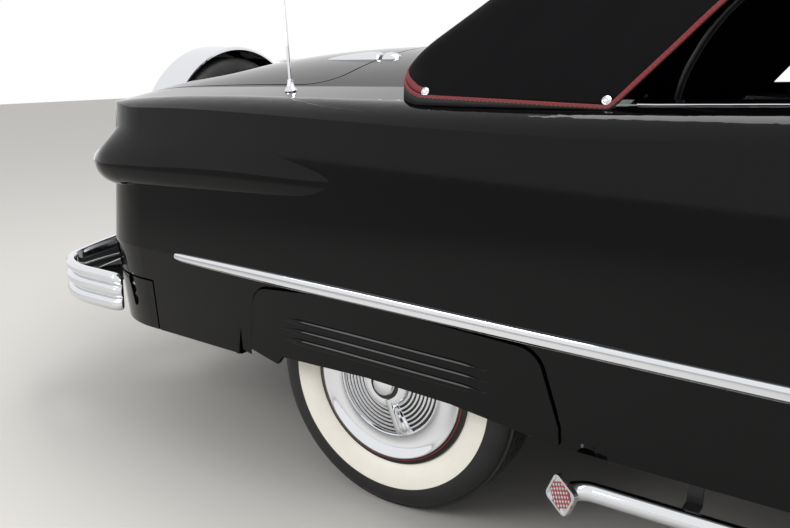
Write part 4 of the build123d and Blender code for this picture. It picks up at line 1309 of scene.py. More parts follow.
# Tip: distance from the end, share of the section, how far it is drawn in
BUMPER_TIP = ((0.0, 0.84, 0.0070), (0.003, 0.90, 0.0050), (0.008, 0.94, 0.0030), (0.016, 0.97, 0.0014),
              (0.028, 0.99, 0.0004), (0.045, 1.0, 0.0))
# Turned lamps: plated metal, 1 glass
HEADLAMP_ROWS = (
    (-0.070, 0.0), (-0.070, 0.094), (0.0, 0.097), (0.0, 0.1115), (0.008, 0.1115), (0.016, 0.108),
    (0.021, 0.1015), (0.022, 0.0965), (0.0185, 0.0945, 1), (0.0255, 0.084, 1), (0.034, 0.066, 1),
    (0.0405, 0.040, 1), (0.0435, 0.016, 1), (0.044, 0.0, 1),
)
TAIL_ROWS = (
    (0.0, 0.0), (0.0, 0.0345), (0.006, 0.0345), (0.0105, 0.0325), (0.0125, 0.0285), (0.0115, 0.0265),
    (0.0175, 0.0245, 1), (0.0195, 0.0205, 1), (0.0185, 0.0185, 1), (0.0235, 0.0160, 1), (0.0245, 0.0120, 1),
    (0.0235, 0.0100, 1), (0.0270, 0.0070, 1), (0.028, 0.0, 1),
)
PARKING_ROWS = ((0.008, 0.0), (0.008, 0.0480), (0.013, 0.0490), (0.018, 0.0455), (0.0165, 0.0420),
                (0.0240, 0.0370, 1), (0.0310, 0.0240, 1), (0.0350, 0.0100, 1), (0.0360, 0.0, 1))
HEADLAMP_PLACE, TAIL_PLACE = (3.56, 0.700, 0.745), (-0.999, 0.795, 0.800)
PARKING_Y, PARKING_BACK = 0.430, 0.062
HINGE_Y = 0.372
HINGE_LEAF = ((-0.500, 0.0015, 0.0015), (-0.490, 0.005, 0.004), (-0.460, 0.011, 0.008),
              (-0.420, 0.017, 0.012), (-0.380, 0.021, 0.015), (-0.345, 0.023, 0.0165),
              (-0.325, 0.0235, 0.016), (-0.316, 0.0225, 0.013), (-0.3125, 0.019, 0.008))
HINGE_FOOT = ((-0.2995, 0.019, 0.008), (-0.296, 0.0225, 0.013), (-0.284, 0.0235, 0.0145),
              (-0.268, 0.022, 0.012), (-0.256, 0.017, 0.007), (-0.252, 0.010, 0.003))
LEAF_STEPS = 12
# Door handle: station, how far out from the door, height
DOOR_HANDLE = ((1.075, 0.002, 0.900), (1.082, 0.020, 0.901), (1.110, 0.031, 0.902), (1.170, 0.033, 0.903),
               (1.228, 0.030, 0.903), (1.252, 0.018, 0.903), (1.258, 0.002, 0.903))
HANDLE_FOOT = ((-0.002, 0.0), (-0.002, 0.019), (0.002, 0.019), (0.006, 0.0155), (0.0085, 0.010),
               (0.0095, 0.0))
DOOR_BUTTON = ((-0.002, 0.0), (-0.002, 0.014), (0.003, 0.014), (0.004, 0.0112), (0.010, 0.0108),
               (0.0125, 0.008), (0.013, 0.0))
HANDLE_Z = 0.902
LID_HANDLE_S = -0.945
LID_HANDLE = ((-0.085, 0.001), (-0.075, 0.014), (-0.035, 0.022), (0.035, 0.022), (0.075, 0.014),
              (0.085, 0.001))
HOOD_RIB_START, HOOD_RIB_END, HOOD_RIB_STEPS = 2.46, 3.50, 40
HOOD_RIB_TIP = ((3.508, 0.017, 0.021), (3.514, 0.012, 0.016), (3.517, 0.004, 0.008))
ANTENNA_FOOT, ANTENNA_TIP = (-0.361, -0.712, 1.0225), (-0.405, -0.712, 1.4955)
ANTENNA_ROWS = ((0.0, 0.0), (0.0, 0.0170), (0.003, 0.0170), (0.006, 0.0150), (0.012, 0.0105), (0.022, 0.0078),
                (0.030, 0.0070), (0.031, 0.0042), (0.18, 0.0040), (0.182, 0.0033), (0.33, 0.0031),
                (0.332, 0.0024))
# The mast's ball, measured back from its tip
ANTENNA_BALL = ((0.007, 0.0021), (0.006, 0.0036), (0.003, 0.0044), (0.0005, 0.0028), (0.0, 0.0))
STEM_ROWS = ((0.0, 0.0), (0.0, 0.011), (0.006, 0.0105), (0.008, 0.005), (0.055, 0.004), (0.056, 0.0))
STEM_PLACE, STEM_WAY, MIRROR_PLACE = (1.862, 0.0, 1.487), (-0.45, 0, -0.9), (1.832, 0.0, 1.432)
MIRROR_HALF, MIRROR_SQUARE, MIRROR_STEPS = (0.085, 0.026), -0.35, 48
MIRROR_LAYERS = ((0.0, 0.94), (-0.0015, 1.0), (0.010, 0.96), (0.016, 0.78), (0.019, 0.4))
# Windshield pane: lower middle, lower outer corner and upper middle
PANE_LOW, PANE_OUT, PANE_HIGH = (2.275, 0.0, 1.125), (2.125, 0.700, 1.062), (1.872, 0.0, 1.500)
WIPER_ARM = ((0.30, 0.012, 0.030), (0.285, 0.050, 0.036), (0.245, 0.110, 0.030))
WIPER_SIZE, POST_PLACE = (0.009, 0.006), (0.30, 0.008, 0.018)
# The blade's start along the pane, its length, its place up the pane and off it, and how much it bends
BLADE_START, BLADE_LENGTH, BLADE_UP, BLADE_OUT, BLADE_BEND, BLADE_STEPS = 0.120, 0.28, 0.108, 0.014, 0.004, 16
WIPER_SECTION = ((-0.002, -0.010), (0.002, -0.010), (0.004, 0.004), (0.003, 0.008), (-0.003, 0.008),
                 (-0.004, 0.004))
WIPER_POST = ((-0.012, 0.0), (-0.012, 0.016), (0.004, 0.016), (0.009, 0.013), (0.020, 0.009), (0.022, 0.0))
BOLT_PLACES, BOLT_HEIGHT, BOLT_RADIUS = (-0.62, -0.24, 0.24, 0.62), 0.431, 0.011


def lamp_pod(side, sign):
    """Bulge that carries the tail lamp: soft above, creased below, fading forward into the quarter."""
    tables = [curve_table([(row[0], row[k]) for row in POD_ROWS], 5) for k in range(1, 6)]
    marks = [-1.000 + 0.010 * i for i in range(11)] + [-0.900 + 0.02 * (i + 1) for i in range(45)]
    verts = []
    for s in marks:
        reach, middle, up, down, soft = (table_value(table, s) for table in tables)
        base = side_of("quarter_panels", station(s), SIDE_HEIGHT, sign)
        for i in range(POD_STEPS + 1):
            part = -cos(pi * i / POD_STEPS)
            z = middle + (up if part > 0 else down) * part
            foot = max(POD_INNER, base + (SIDE_HEIGHT - z) * SIDE_SLOPE) - 0.003
            share = max(0.0, 1 - part * part) ** (soft if part > 0 else 0.5)
            verts.append(spot(s, sign * (foot + max(0.0, reach - foot) * share), z))
    count = POD_STEPS + 1
    faces = ring_faces(len(marks), count)
    faces += [tuple(range(count)), tuple(range(len(verts) - count, len(verts)))]
    solid("lamp_pod_" + side, verts, faces, slot="black_paint")


def rear_bumper():
    """Ribbed blade with closed, rounded ends."""
    turn, bow_turn = radians(90 - BUMPER_BOW), radians(BUMPER_BOW)
    bow = (BUMPER_SIDE - BUMPER_CORNER * (1 - cos(turn))) / sin(bow_turn)
    start = BUMPER_MIDDLE + BUMPER_CORNER * sin(turn) + bow * (1 - cos(bow_turn))
    tip_end = BUMPER_END - BUMPER_TIP[-1][0]
    half = [(BUMPER_END - d, BUMPER_SIDE - drawn) for d, _, drawn in BUMPER_TIP]
    half += [(s, BUMPER_SIDE) for s in steps_from(tip_end, start, 8)[1:-1]]
    half += [(start - BUMPER_CORNER * sin(a), BUMPER_SIDE - BUMPER_CORNER * (1 - cos(a)))
             for a in steps_from(0, turn, 20)]
    half += [(BUMPER_MIDDLE + bow * (1 - cos(a)), bow * sin(a)) for a in steps_from(0, bow_turn, 20)[-2::-1]]
    line = half + [(s, -y) for s, y in half[-2::-1]]
    tip = [share for _, share, _ in BUMPER_TIP]
    made = sweep("bumper_rear_ribbed", [spot(s, y, BUMPER_HEIGHT) for s, y in line], BUMPER_SECTION,
                 shares=tip + [1.0] * (len(line) - 2 * len(tip)) + tip[::-1])
    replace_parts(made, "bumper_rear")


def leaf(name, rows, y, node, body):
    """Low crowned ornament on a panel. A row is a station, half width and height."""
    verts = []
    for s, half, high in rows:
        for part in steps_from(-1, 1, LEAF_STEPS):
            across = y + half * part
            rise = (high + 0.001) * sqrt(max(0.0, 1 - part * part))
            verts.append(spot(s, across, height_of(node, station(s), across) - 0.001 + rise))
    count = LEAF_STEPS + 1
    last = (len(rows) - 1) * count
    faces = ring_faces(len(rows), count, closed=False)
    faces += [tuple(range(count)), tuple(range(last, last + count))]
    under = [r * count for r in range(len(rows))]
    faces.append(tuple(under + [r + LEAF_STEPS for r in reversed(under)]))
    solid(name, verts, faces, body)


def bright_handle(name, points, body, size=(0.018, 0.011)):
    """Slim grip carried along points, thinner at its ends."""
    path = smooth_path(points, 8)
    last = len(path) - 1
    shares = [0.55 + 0.45 * smooth_step(min(i, last - i) / (last * 0.3)) for i in range(last + 1)]
    sweep(name, path, oval(*size), body, shares=shares)


def pair_of(name, node, rows, place, way, slot, glass, steps):
    """Two like lamps, one on each side, in place of a node."""
    s, y, z = place
    lamps = lathe(name, rows, [spot(s, sign * y, z) for _, sign in SIDES], (way, 0, 0), slot=slot,
                  materials=["chrome", glass], steps=steps)
    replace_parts(lamps, node)


def door_handle(side, sign):
    """Pull handle with its two feet and a push button."""
    door = "door_" + side

    def on_door(s, out, z):
        return spot(s, sign * (side_of(door, station(s), z, sign) + out), z)

    bright_handle("door_handle_" + side, [on_door(*row) for row in DOOR_HANDLE], door)
    for name, s, rows in (("handle_foot_rear_", 1.082, HANDLE_FOOT),
                          ("handle_foot_front_", 1.252, HANDLE_FOOT),
                          ("door_button_", 1.045, DOOR_BUTTON)):
        lathe(name + side, rows, on_door(s, 0, HANDLE_Z), (0, sign, 0.05), door, steps=32)


def antenna():
    """Telescoping mast on a turned foot."""
    foot, tip = Vector(spot(*ANTENNA_FOOT)), Vector(spot(*ANTENNA_TIP))
    reach = (tip - foot).length
    rows = ANTENNA_ROWS + tuple((reach - back, radius) for back, radius in ANTENNA_BALL)
    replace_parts(lathe("antenna_mast", rows, foot, tip - foot, steps=24), "antenna")


def lid_handle():
    """Low handle on the rear of the deck lid."""
    points = []
    for y, lift in LID_HANDLE:
        ground = height_of("deck_lid", station(LID_HANDLE_S), y)
        points.append(spot(LID_HANDLE_S - lift * 0.3, y, ground + lift))
    bright_handle("lid_handle", points, "deck_lid", size=(0.016, 0.012))


def hood_strip():
    """Plain bright rib down the middle of the hood."""
    rows = []
    for part in steps_from(0, 1, HOOD_RIB_STEPS):
        rear, front = smooth_step(part * 3), smooth_step((part - 0.7) / 0.25)
        rows.append((HOOD_RIB_START + (HOOD_RIB_END - HOOD_RIB_START) * part,
                     0.004 + 0.006 * rear + 0.010 * front, 0.003 + 0.005 * rear + 0.016 * front))
    leaf("hood_rib", [*rows, *HOOD_RIB_TIP], 0.0, "hood", "hood")


def mirror():
    """Rear-view mirror on a stem from the windshield's top bar."""
    lathe("mirror_stem", STEM_ROWS, spot(*STEM_PLACE), STEM_WAY, steps=24)
    turns = [2 * pi * (i + 0.5) / MIRROR_STEPS for i in range(MIRROR_STEPS)]
    half_w, half_h = MIRROR_HALF
    outline = [(half_w * cos(t) * abs(cos(t)) ** MIRROR_SQUARE,
                half_h * sin(t) * abs(sin(t)) ** MIRROR_SQUARE) for t in turns]
    centre = Vector(spot(*MIRROR_PLACE))
    verts = [centre + Vector((out, a * share, b * share)) for out, share in MIRROR_LAYERS for a, b in outline]
    faces = ring_faces(len(MIRROR_LAYERS), MIRROR_STEPS)
    faces += [tuple(range(MIRROR_STEPS)), tuple(range(len(verts) - MIRROR_STEPS, len(verts)))]
    solid("rear_mirror", verts, faces)


def wiper(side, sign):
    """Wiper arm and blade at rest along the foot of the glass."""
    low, out, high = (Vector(spot(s, sign * y, z)) for s, y, z in (PANE_LOW, PANE_OUT, PANE_HIGH))
    across, rise = (out - low), (high - low)
    normal = across.cross(rise) * -sign
    normal.normalize()
    if normal.x < 0:
        normal = -normal
    up = rise - across * (rise.dot(across) / across.length_squared)
    up.normalize()
    along = across.normalized()

    def place(a, b, c):
        return low + along * a + up * b + normal * c

    arm = smooth_path([place(*row) for row in WIPER_ARM], 6)
    sweep("wiper_arm_" + side, arm, oval(*WIPER_SIZE), up=normal)
    bends = [BLADE_BEND * sin(pi * i / BLADE_STEPS) for i in range(BLADE_STEPS + 1)]
    blade = [place(BLADE_START + BLADE_LENGTH * i / BLADE_STEPS, BLADE_UP + bend, BLADE_OUT + bend)
             for i, bend in enumerate(bends)]
    sweep("wiper_blade_" + side, blade, WIPER_SECTION, materials=["tyre"], up=normal)
    lathe("wiper_post_" + side, WIPER_POST, place(*POST_PLACE), normal, steps=24)


def bumper_bolts():
    """Round-headed bolts on the front bumper."""
    hits = [surface_tree("bumper_front").ray_cast(Vector((AHEAD, y, BOLT_HEIGHT)), Vector((-1, 0, 0)))[0]
            for y in BOLT_PLACES]
    places = [hit - Vector((0.001, 0, 0)) for hit in hits]
    domed_caps("bumper_bolts", places, [(1, 0, 0)] * len(places), BOLT_RADIUS)


class CONV_OT_brightwork(bpy.types.Operator):
    """Fit the lamps, bumper, hinges, handles, antenna and other bright parts"""
    bl_idname = "convertible.brightwork"
    bl_label = "Lamps and brightwork"

    def execute(self, context):
        pair_of("headlamp_pair", "headlamps", HEADLAMP_ROWS, HEADLAMP_PLACE, 1, "chrome", "clear_lens", 64)
        pair_of("tail_lamp_pair", "taillamps", TAIL_ROWS, TAIL_PLACE, -1, "red_lens", "red_lens", 48)
        low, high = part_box("grille")
        places = [(high.x - PARKING_BACK, sign * PARKING_Y, (low.z + high.z) / 2) for _, sign in SIDES]
        lathe("parking_lamps", PARKING_ROWS, places, (1, 0, 0), materials=["chrome", "clear_lens"], steps=48)
        for side, sign in SIDES:
            leaf("hinge_leaf_" + side, HINGE_LEAF, sign * HINGE_Y, "deck_lid", "deck_lid")
            leaf("hinge_foot_" + side, HINGE_FOOT, sign * HINGE_Y, "quarter_panels", CHASSIS)
            door_handle(side, sign)
            wiper(side, sign)
            lamp_pod(side, sign)
        for make in (rear_bumper, antenna, lid_handle, hood_strip, mirror, bumper_bolts):
            make()
        return {"FINISHED"}


# Spare wheel

SPARE_ROWS = (
    (-0.052, 0.206), (-0.060, 0.222), (-0.066, 0.250), (-0.0685, 0.285), (-0.064, 0.312), (-0.054, 0.328),
    (-0.046, 0.333), (0.0, 0.3335), (0.046, 0.333), (0.054, 0.328), (0.064, 0.312), (0.0685, 0.285),
    (0.066, 0.250), (0.060, 0.222), (0.052, 0.206),
)
SPARE_DISC = ((0.048, 0.2035), (0.060, 0.2060), (0.061, 0.2025), (0.050, 0.1960), (0.036, 0.1850),
              (0.030, 0.1600), (0.040, 0.1350), (0.044, 0.1150, 1), (0.050, 0.1080, 1), (0.056, 0.0960, 1),
              (0.0600, 0.0700, 1), (0.0620, 0.0400, 1), (0.0625, 0.0, 1))
# The disc's front is the same form, flatter
FRONT_SHARE = 0.6


class CONV_OT_spare(bpy.types.Operator):
    """Make the spare wheel inside its ring"""
    bl_idname = "convertible.spare"
    bl_label = "Spare wheel"

    def execute(self, context):
        low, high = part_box("spare_tyre")
        place, back = ((low.x + high.x) / 2, 0, (low.z + high.z) / 2), (-1, 0, 0)
        tyre = lathe("spare_tyre_dressed", SPARE_ROWS, place, back, slot="tyre", steps=128)
        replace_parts(tyre, "spare_tyre")
        lathe("spare_disc", SPARE_DISC, place, back, slot="black_paint", materials=["wheel_black", "chrome"])
        front = [(-offset * FRONT_SHARE, radius) for offset, radius, *_ in SPARE_DISC[1:]]
        lathe("spare_disc_front", front, place, back, slot="black_paint", materials=["wheel_black"])
        return {"FINISHED"}


# Side pipe caps

CAP_END, CAP_TURN, CAP_FACE, CAP_TILT = (0.527, 0.93975, 0.277), 65, 0.0092, 25
CAP_HALF, CAP_THICK = 0.0268, 0.0008
CAP_CORNERS = ((-1, -0.8), (-0.8, -1), (0.8, -1), (1, -0.8), (1, 0.8), (0.8, 1), (-0.8, 1), (-1, 0.8))
LOZENGES, LOZENGE_PITCH, LOZENGE_FLAT = 6, 0.0086, 0.82
LOZENGE_LAYERS = ((0.49, 0.0007), (0.40, 0.0023), (0.12, 0.0027))
# Hangers are what lies inside this width or above this height
HANGER_OUT, HANGER_HEIGHT = 0.892, 0.318


def cap_badge(side, sign):
    """Red enamel in the cap's recess with a bright net of lozenges over it."""
    out = Vector((-cos(radians(CAP_TURN)), sign * sin(radians(CAP_TURN)), 0))
    high = Vector((0, 0, 1))
    across = out.cross(high)
    tilt = radians(CAP_TILT)
    u = high * cos(tilt) + across * sin(tilt)
    v = across * cos(tilt) - high * sin(tilt)
    centre = Vector(spot(CAP_END[0], sign * CAP_END[1], CAP_END[2])) + out * CAP_FACE
    verts = [centre + u * a * CAP_HALF + v * b * CAP_HALF + out * rise for rise in (0, CAP_THICK)
             for a, b in CAP_CORNERS]
    faces = [tuple(range(8)), tuple(range(8, 16))] + ring_faces(2, 8)
    solid("cap_enamel_" + side, verts, faces, materials=["cap_red"], smooth=False)
    verts, faces = [], []
    marks = [(i - (LOZENGES - 1) / 2) * LOZENGE_PITCH for i in range(LOZENGES)]
    for a, b in [(a, b) for a in marks for b in marks]:
        start = len(verts)
        for share, rise in LOZENGE_LAYERS:
            reach = LOZENGE_PITCH * share
            verts += [centre + u * (a + reach * p) + v * (b + reach * q * LOZENGE_FLAT) + out * rise
                      for p, q in ((1, 0), (0, 1), (-1, 0), (0, -1))]
        faces += ring_faces(3, 4, start)
        faces += [tuple(range(start + 8, start + 12)), tuple(range(start, start + 4))]
    solid("cap_net_" + side, verts, faces, smooth=False)


def dark_hangers(side):
    """Side pipe with its hangers in chassis black."""
    mesh = frame["nodes"]["side_pipe_" + side].data.copy()
    mesh.materials.clear()
    for face in mesh.polygons:
        face.material_index = int(abs(face.center.y) < HANGER_OUT or face.center.z > HANGER_HEIGHT)
    made = finish_piece("side_pipe_bright_" + side, mesh, materials=["chrome", "chassis_black"], smooth=False)
    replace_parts(made, "side_pipe_" + side)


class CONV_OT_pipe_caps(bpy.types.Operator):
    """Fill the side pipe caps with enamel and a bright net"""
    bl_idname = "convertible.pipe_caps"
    bl_label = "Side pipe caps"

    def execute(self, context):
        for side, sign in SIDES:
            cap_badge(side, sign)
            dark_hangers(side)
        return {"FINISHED"}


# Cabin

# Seat parts: name, outline of stations and heights, half width and the node that the first one replaces.
# The sitter leans on the side from an outline's second corner to its third.
SEAT_PARTS = (
    ("front_cushion", ((1.115, 0.325), (1.100, 0.560), (1.640, 0.618), (1.658, 0.560), (1.615, 0.335)), 0.64,
     "seat_front"),
    ("front_back", ((1.190, 0.425), (1.188, 0.560), (1.062, 0.985), (1.008, 1.026), (0.930, 1.000),
                    (1.070, 0.425)), 0.64, "seat_front"),
    ("rear_cushion", ((0.250, 0.565), (0.250, 0.648), (0.700, 0.688), (0.728, 0.640), (0.700, 0.330),
                      (0.470, 0.330), (0.455, 0.565)), 0.52, "seat_rear"),
    ("rear_back", ((0.330, 0.565), (0.328, 0.660), (0.188, 0.968), (0.140, 0.984), (0.100, 0.950),
                   (0.150, 0.565)), 0.52, "seat_rear"),
)
PLEAT_PITCH, PLEAT_DEPTH, PLEAT_WIDTH, PLEAT_CROWN = 0.062, 0.007, 0.007, 0.004
PAD_ROUND, PAD_CROWN, PAD_INSET, PAD_SHRINK = 0.045, 0.010, 0.052, 0.028
PAD_ENDS, PAD_STEP = (0.0, 0.003, 0.010, 0.020, 0.034, 0.052), 0.0078
CARD_THICK, CARD_PLEAT, CARD_COLUMNS, CARD_LINES, CARD_BORDER = 0.011, 0.05, 96, 28, 0.06
DOOR_CARD, QUARTER_CARD = (1.02, 1.97, 0.42, 1.025), (0.45, 0.985, 0.60, 1.010)
# Window crank and door latch: station and height of the boss, reach and drop of the arm
CONTROLS = (("crank", 1.50, 0.80, 0.105, -0.03), ("latch", 1.80, 0.86, 0.085, 0.0))
CONTROL_SIZE, KNOB_PLACE = (0.012, 0.008), (1.395, 0.77)
CARD_STRIP, CARD_STRIP_Z = (1.04, 1.3, 1.6, 1.94), 0.935
BOSS_ROWS = ((0.0, 0.0), (0.0, 0.020), (0.005, 0.019), (0.012, 0.011), (0.016, 0.010), (0.017, 0.0))
CRANK_KNOB = ((0.0, 0.0), (0.0, 0.006), (0.006, 0.011), (0.020, 0.012), (0.027, 0.009), (0.029, 0.0))
# Floor's section across the car, and the rise of the gearbox's hump under the dash
FLOOR_LINE = ((-0.735, 0.322), (-0.60, 0.323), (-0.30, 0.322), (-0.162, 0.324), (0.162, 0.324), (0.30, 0.322),
              (0.60, 0.323), (0.735, 0.322))
CARPET_START, CARPET_END, HUMP_RISE = 0.475, 2.10, 0.256
GAUGES = ((0.360, 0.895, 0.066), (0.0, 0.895, 0.040))
DASH_FACE_S, DASH_LEAN = 1.9895, -0.0555
DASH_OUT = Vector((-1, 0, DASH_LEAN)).normalized()
GAUGE_SWEEP, GAUGE_MARKS, POINTER_TURN = 130, 24, -100
DASH_KNOB = ((0.0, 0.0), (0.0, 0.008), (0.012, 0.0075), (0.013, 0.014), (0.026, 0.015), (0.029, 0.011),
             (0.030, 0.0))
KNOB_PLACES = ((0.20, 0.87), (0.52, 0.87), (0.10, 0.925), (-0.10, 0.925), (0.20, 0.925))
SPEAKER_BARS, BAR_START, BAR_PITCH, BAR_Z, BAR_HEIGHT = 16, -0.09, 0.012, 0.80, 0.036
DASH_STRIP_S, DASH_STRIP_Z, DASH_STRIP_HALF = 1.9862, 0.968, 0.70
GLOVE_BOX = ((-0.24, 0.85), (-0.24, 0.945), (-0.50, 0.945), (-0.50, 0.85), (-0.24, 0.85), (-0.24, 0.945))
WHEEL_PLACE, WHEEL_LEAN, HORN_RADIUS, HORN_STEPS = (1.700, 0.360, 0.905), 28, 0.145, 72
HORN_LIFT, SPOKE_LIFT, SPOKE_RADII = 0.012, 0.013, (0.034, 0.09, HORN_RADIUS)
HORN_CAP = ((-0.002, 0.0), (-0.002, 0.040), (0.006, 0.040), (0.012, 0.036), (0.016, 0.026), (0.018, 0.0))


def pad_outline(corners):
    """Closed outline rounded at its corners, as (point, outward way, share along the sitting face)."""
    count = len(corners)
    points = []
    for i, corner in enumerate(corners):
        here = Vector(corner)
        before, after = Vector(corners[i - 1]), Vector(corners[(i + 1) % count])
        enter = here + (before - here).normalized() * min(PAD_ROUND, (here - before).length * 0.45)
        leave = here + (after - here).normalized() * min(PAD_ROUND, (after - here).length * 0.45)
        for t in steps_from(0, 1, 5):
            points.append((enter * (1 - t) ** 2 + here * 2 * t * (1 - t) + leave * t * t, None))
        gap = (after - leave).length
        for part in steps_from(0, 1, 8)[1:-1]:
            place = leave + (after - leave) * part * (gap - PAD_ROUND) / gap
            points.append((place, part if i == 1 else None))
    total = len(points)
    turning = 0
    for i, (here, _) in enumerate(points):
        after = points[(i + 1) % total][0]
        turning += here.x * after.y - after.x * here.y
    outline = []
    for i, (here, part) in enumerate(points):
        ahead = (points[(i + 1) % total][0] - points[i - 1][0]).normalized()
        outline.append((here, Vector((ahead.y, -ahead.x)) * (1 if turning > 0 else -1), part))
    return outline


def seat_pad(name, outline, half):
    """Stuffed pad: crowned, pulled in at its ends, with sewn pleats across its sitting face."""
    centre = sum((here for here, _, _ in outline), Vector((0, 0))) / len(outline)
    marks = [-half + e for e in PAD_ENDS]
    marks += steps_from(-half + 0.06, half - 0.06, int((2 * half - 0.11) / PAD_STEP))
    marks += [half - e for e in reversed(PAD_ENDS)]
    verts = []
    for y in marks:
        inset = min(half - abs(y), PAD_INSET) / PAD_INSET
        shrink = PAD_SHRINK * (1 - sqrt(max(0.0, 1 - (1 - inset) ** 2)))
        from_seam = PLEAT_PITCH / 2 - abs((y + 10 * PLEAT_PITCH) % PLEAT_PITCH - PLEAT_PITCH / 2)
        groove = max(0.0, 1 - from_seam / PLEAT_WIDTH) if abs(y) < half - 0.07 else 0.0
        groove = max(groove, 1 - abs(abs(y) - half + 0.066) / 0.006)
        crown = PLEAT_CROWN * (1 - (2 * from_seam / PLEAT_PITCH - 1) ** 2)
        for here, way, part in outline:
            out = -shrink + unevenness(Vector((here.x * 5, y * 5, here.y * 5))) * 0.003
            if part is not None:
                fade = smooth_step(min(part, 1 - part) / 0.14)
                out += (PAD_CROWN * sin(pi * part) + crown - PLEAT_DEPTH * groove) * fade
            place = here + way * out
            verts.append(spot(place.x, y, place.y))
    count = len(outline)
    faces = ring_faces(len(marks), count)
    for first, y in ((0, -half), ((len(marks) - 1) * count, half)):
        start = len(verts)
        for x, _, z in verts[first:first + count]:
            place = centre + (Vector((x - AXLE_R, z)) - centre) * 0.6
            verts.append(spot(place.x, y, place.y))
        verts.append(spot(centre.x, y, centre.y))
        pairs = [(i, (i + 1) % count) for i in range(count)]
        faces += [(first + i, first + j, start + j, start + i) for i, j in pairs]
        faces += [(start + i, start + j, start + count) for i, j in pairs]
    return solid(name, verts, faces, slot="trim")


class CONV_OT_seats(bpy.types.Operator):
    """Upholster the seats with pleated pads and piping"""
    bl_idname = "convertible.seats"
    bl_label = "Seats"

    def execute(self, context):
        taken = set()
        for name, corners, half, node in SEAT_PARTS:
            outline = pad_outline(corners)
            pad = seat_pad("pad_" + name, outline, half)
            if node not in taken:
                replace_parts(pad, node)
                taken.add(node)
            for side, sign in SIDES:
                ring = [spot(here.x - way.x * 0.004, sign * (half - 0.012), here.y - way.y * 0.004)
                        for here, way, _ in outline]
                sweep("piping_" + name + "_" + side, ring + ring[:1], oval(0.008, 0.008, 8), slot="trim",
                      up=(0, 1, 0))
        return {"FINISHED"}


def wall_pad(name, area, y, sign, body):
    """Trim panel on a side wall: padded vertical pleats inside a flat border."""
    low_s, high_s, low_z, high_z = area
    rows = []
    for z in steps_from(low_z, high_z, CARD_LINES):
        row = []
        for s in steps_from(low_s, high_s, CARD_COLUMNS):
            edge = min(s - low_s, high_s - s, z - low_z, high_z - z)
            out = CARD_THICK * 0.45 * smooth_step(edge / 0.008)
            if low_z + 0.12 < z < high_z - 0.13 and edge > CARD_BORDER:
                fade = smooth_step(min(z - low_z - 0.12, high_z - 0.13 - z) / 0.02)
                fade *= smooth_step((edge - CARD_BORDER) / 0.01)
                part = ((s - low_s) % CARD_PLEAT) / CARD_PLEAT
                out += CARD_THICK * 0.55 * fade * sin(pi * part) ** 0.6
            row.append(spot(s, sign * (y - out - 0.0004), z))
        rows.append(row)
    made = finish_piece(name, grid_mesh(name, rows, (0, -sign, 0)), body, "trim")
    applied(made, ("SOLIDIFY", {"thickness": 0.003, "offset": 1}))


def door_fittings(side, sign, y):
    """Window crank, latch lever and the bright strip of a door card."""
    body, inward = "door_" + side, (0, -sign, 0)
    for label, s, z, reach, drop in CONTROLS:
        lathe(label + "_boss_" + side, BOSS_ROWS, spot(s, sign * (y - 0.004), z), inward, body, steps=32)
        arm = [spot(s - reach * part, sign * (y - out), z + drop * part)
               for part, out in ((0, 0.017), (0.5, 0.024), (1, 0.021))]
        bright_handle(label + "_arm_" + side, arm, body, size=CONTROL_SIZE)
    s, z = KNOB_PLACE
    lathe("crank_knob_" + side, CRANK_KNOB, spot(s, sign * (y - 0.020), z), inward, body, "trim",
          ["dash_paint"], steps=24)
    strip = [spot(s, sign * (y - 0.0075), CARD_STRIP_Z) for s in CARD_STRIP]
    sweep("card_strip_" + side, strip, oval(0.012, 0.006), body, up=(0, 1, 0))


def carpet():
    """Loop carpet over the front floor and its tunnel."""
    across = [(y0 + (y1 - y0) * k / 6, z0 + (z1 - z0) * k / 6)
              for (y0, z0), (y1, z1) in zip(FLOOR_LINE, FLOOR_LINE[1:]) for k in range(6)] + [FLOOR_LINE[-1]]
    rows = []
    for s in steps_from(CARPET_START, CARPET_END, 40):
        row = []
        for y, z in across:
            hump = HUMP_RISE * smooth_step((s - 1.93) / 0.03) * smooth_step((0.172 - abs(y)) / 0.02)
            row.append(spot(s, y, z + hump + 0.002 * unevenness(Vector((s * 8, y * 8, 0)))))
        rows.append(row)
    made = finish_piece("floor_carpet", grid_mesh("floor_carpet", rows, (0, 0, 1)), slot="trim",
                        materials=["carpet"])
    applied(made, ("SOLIDIFY", {"thickness": 0.006, "offset": 1}))


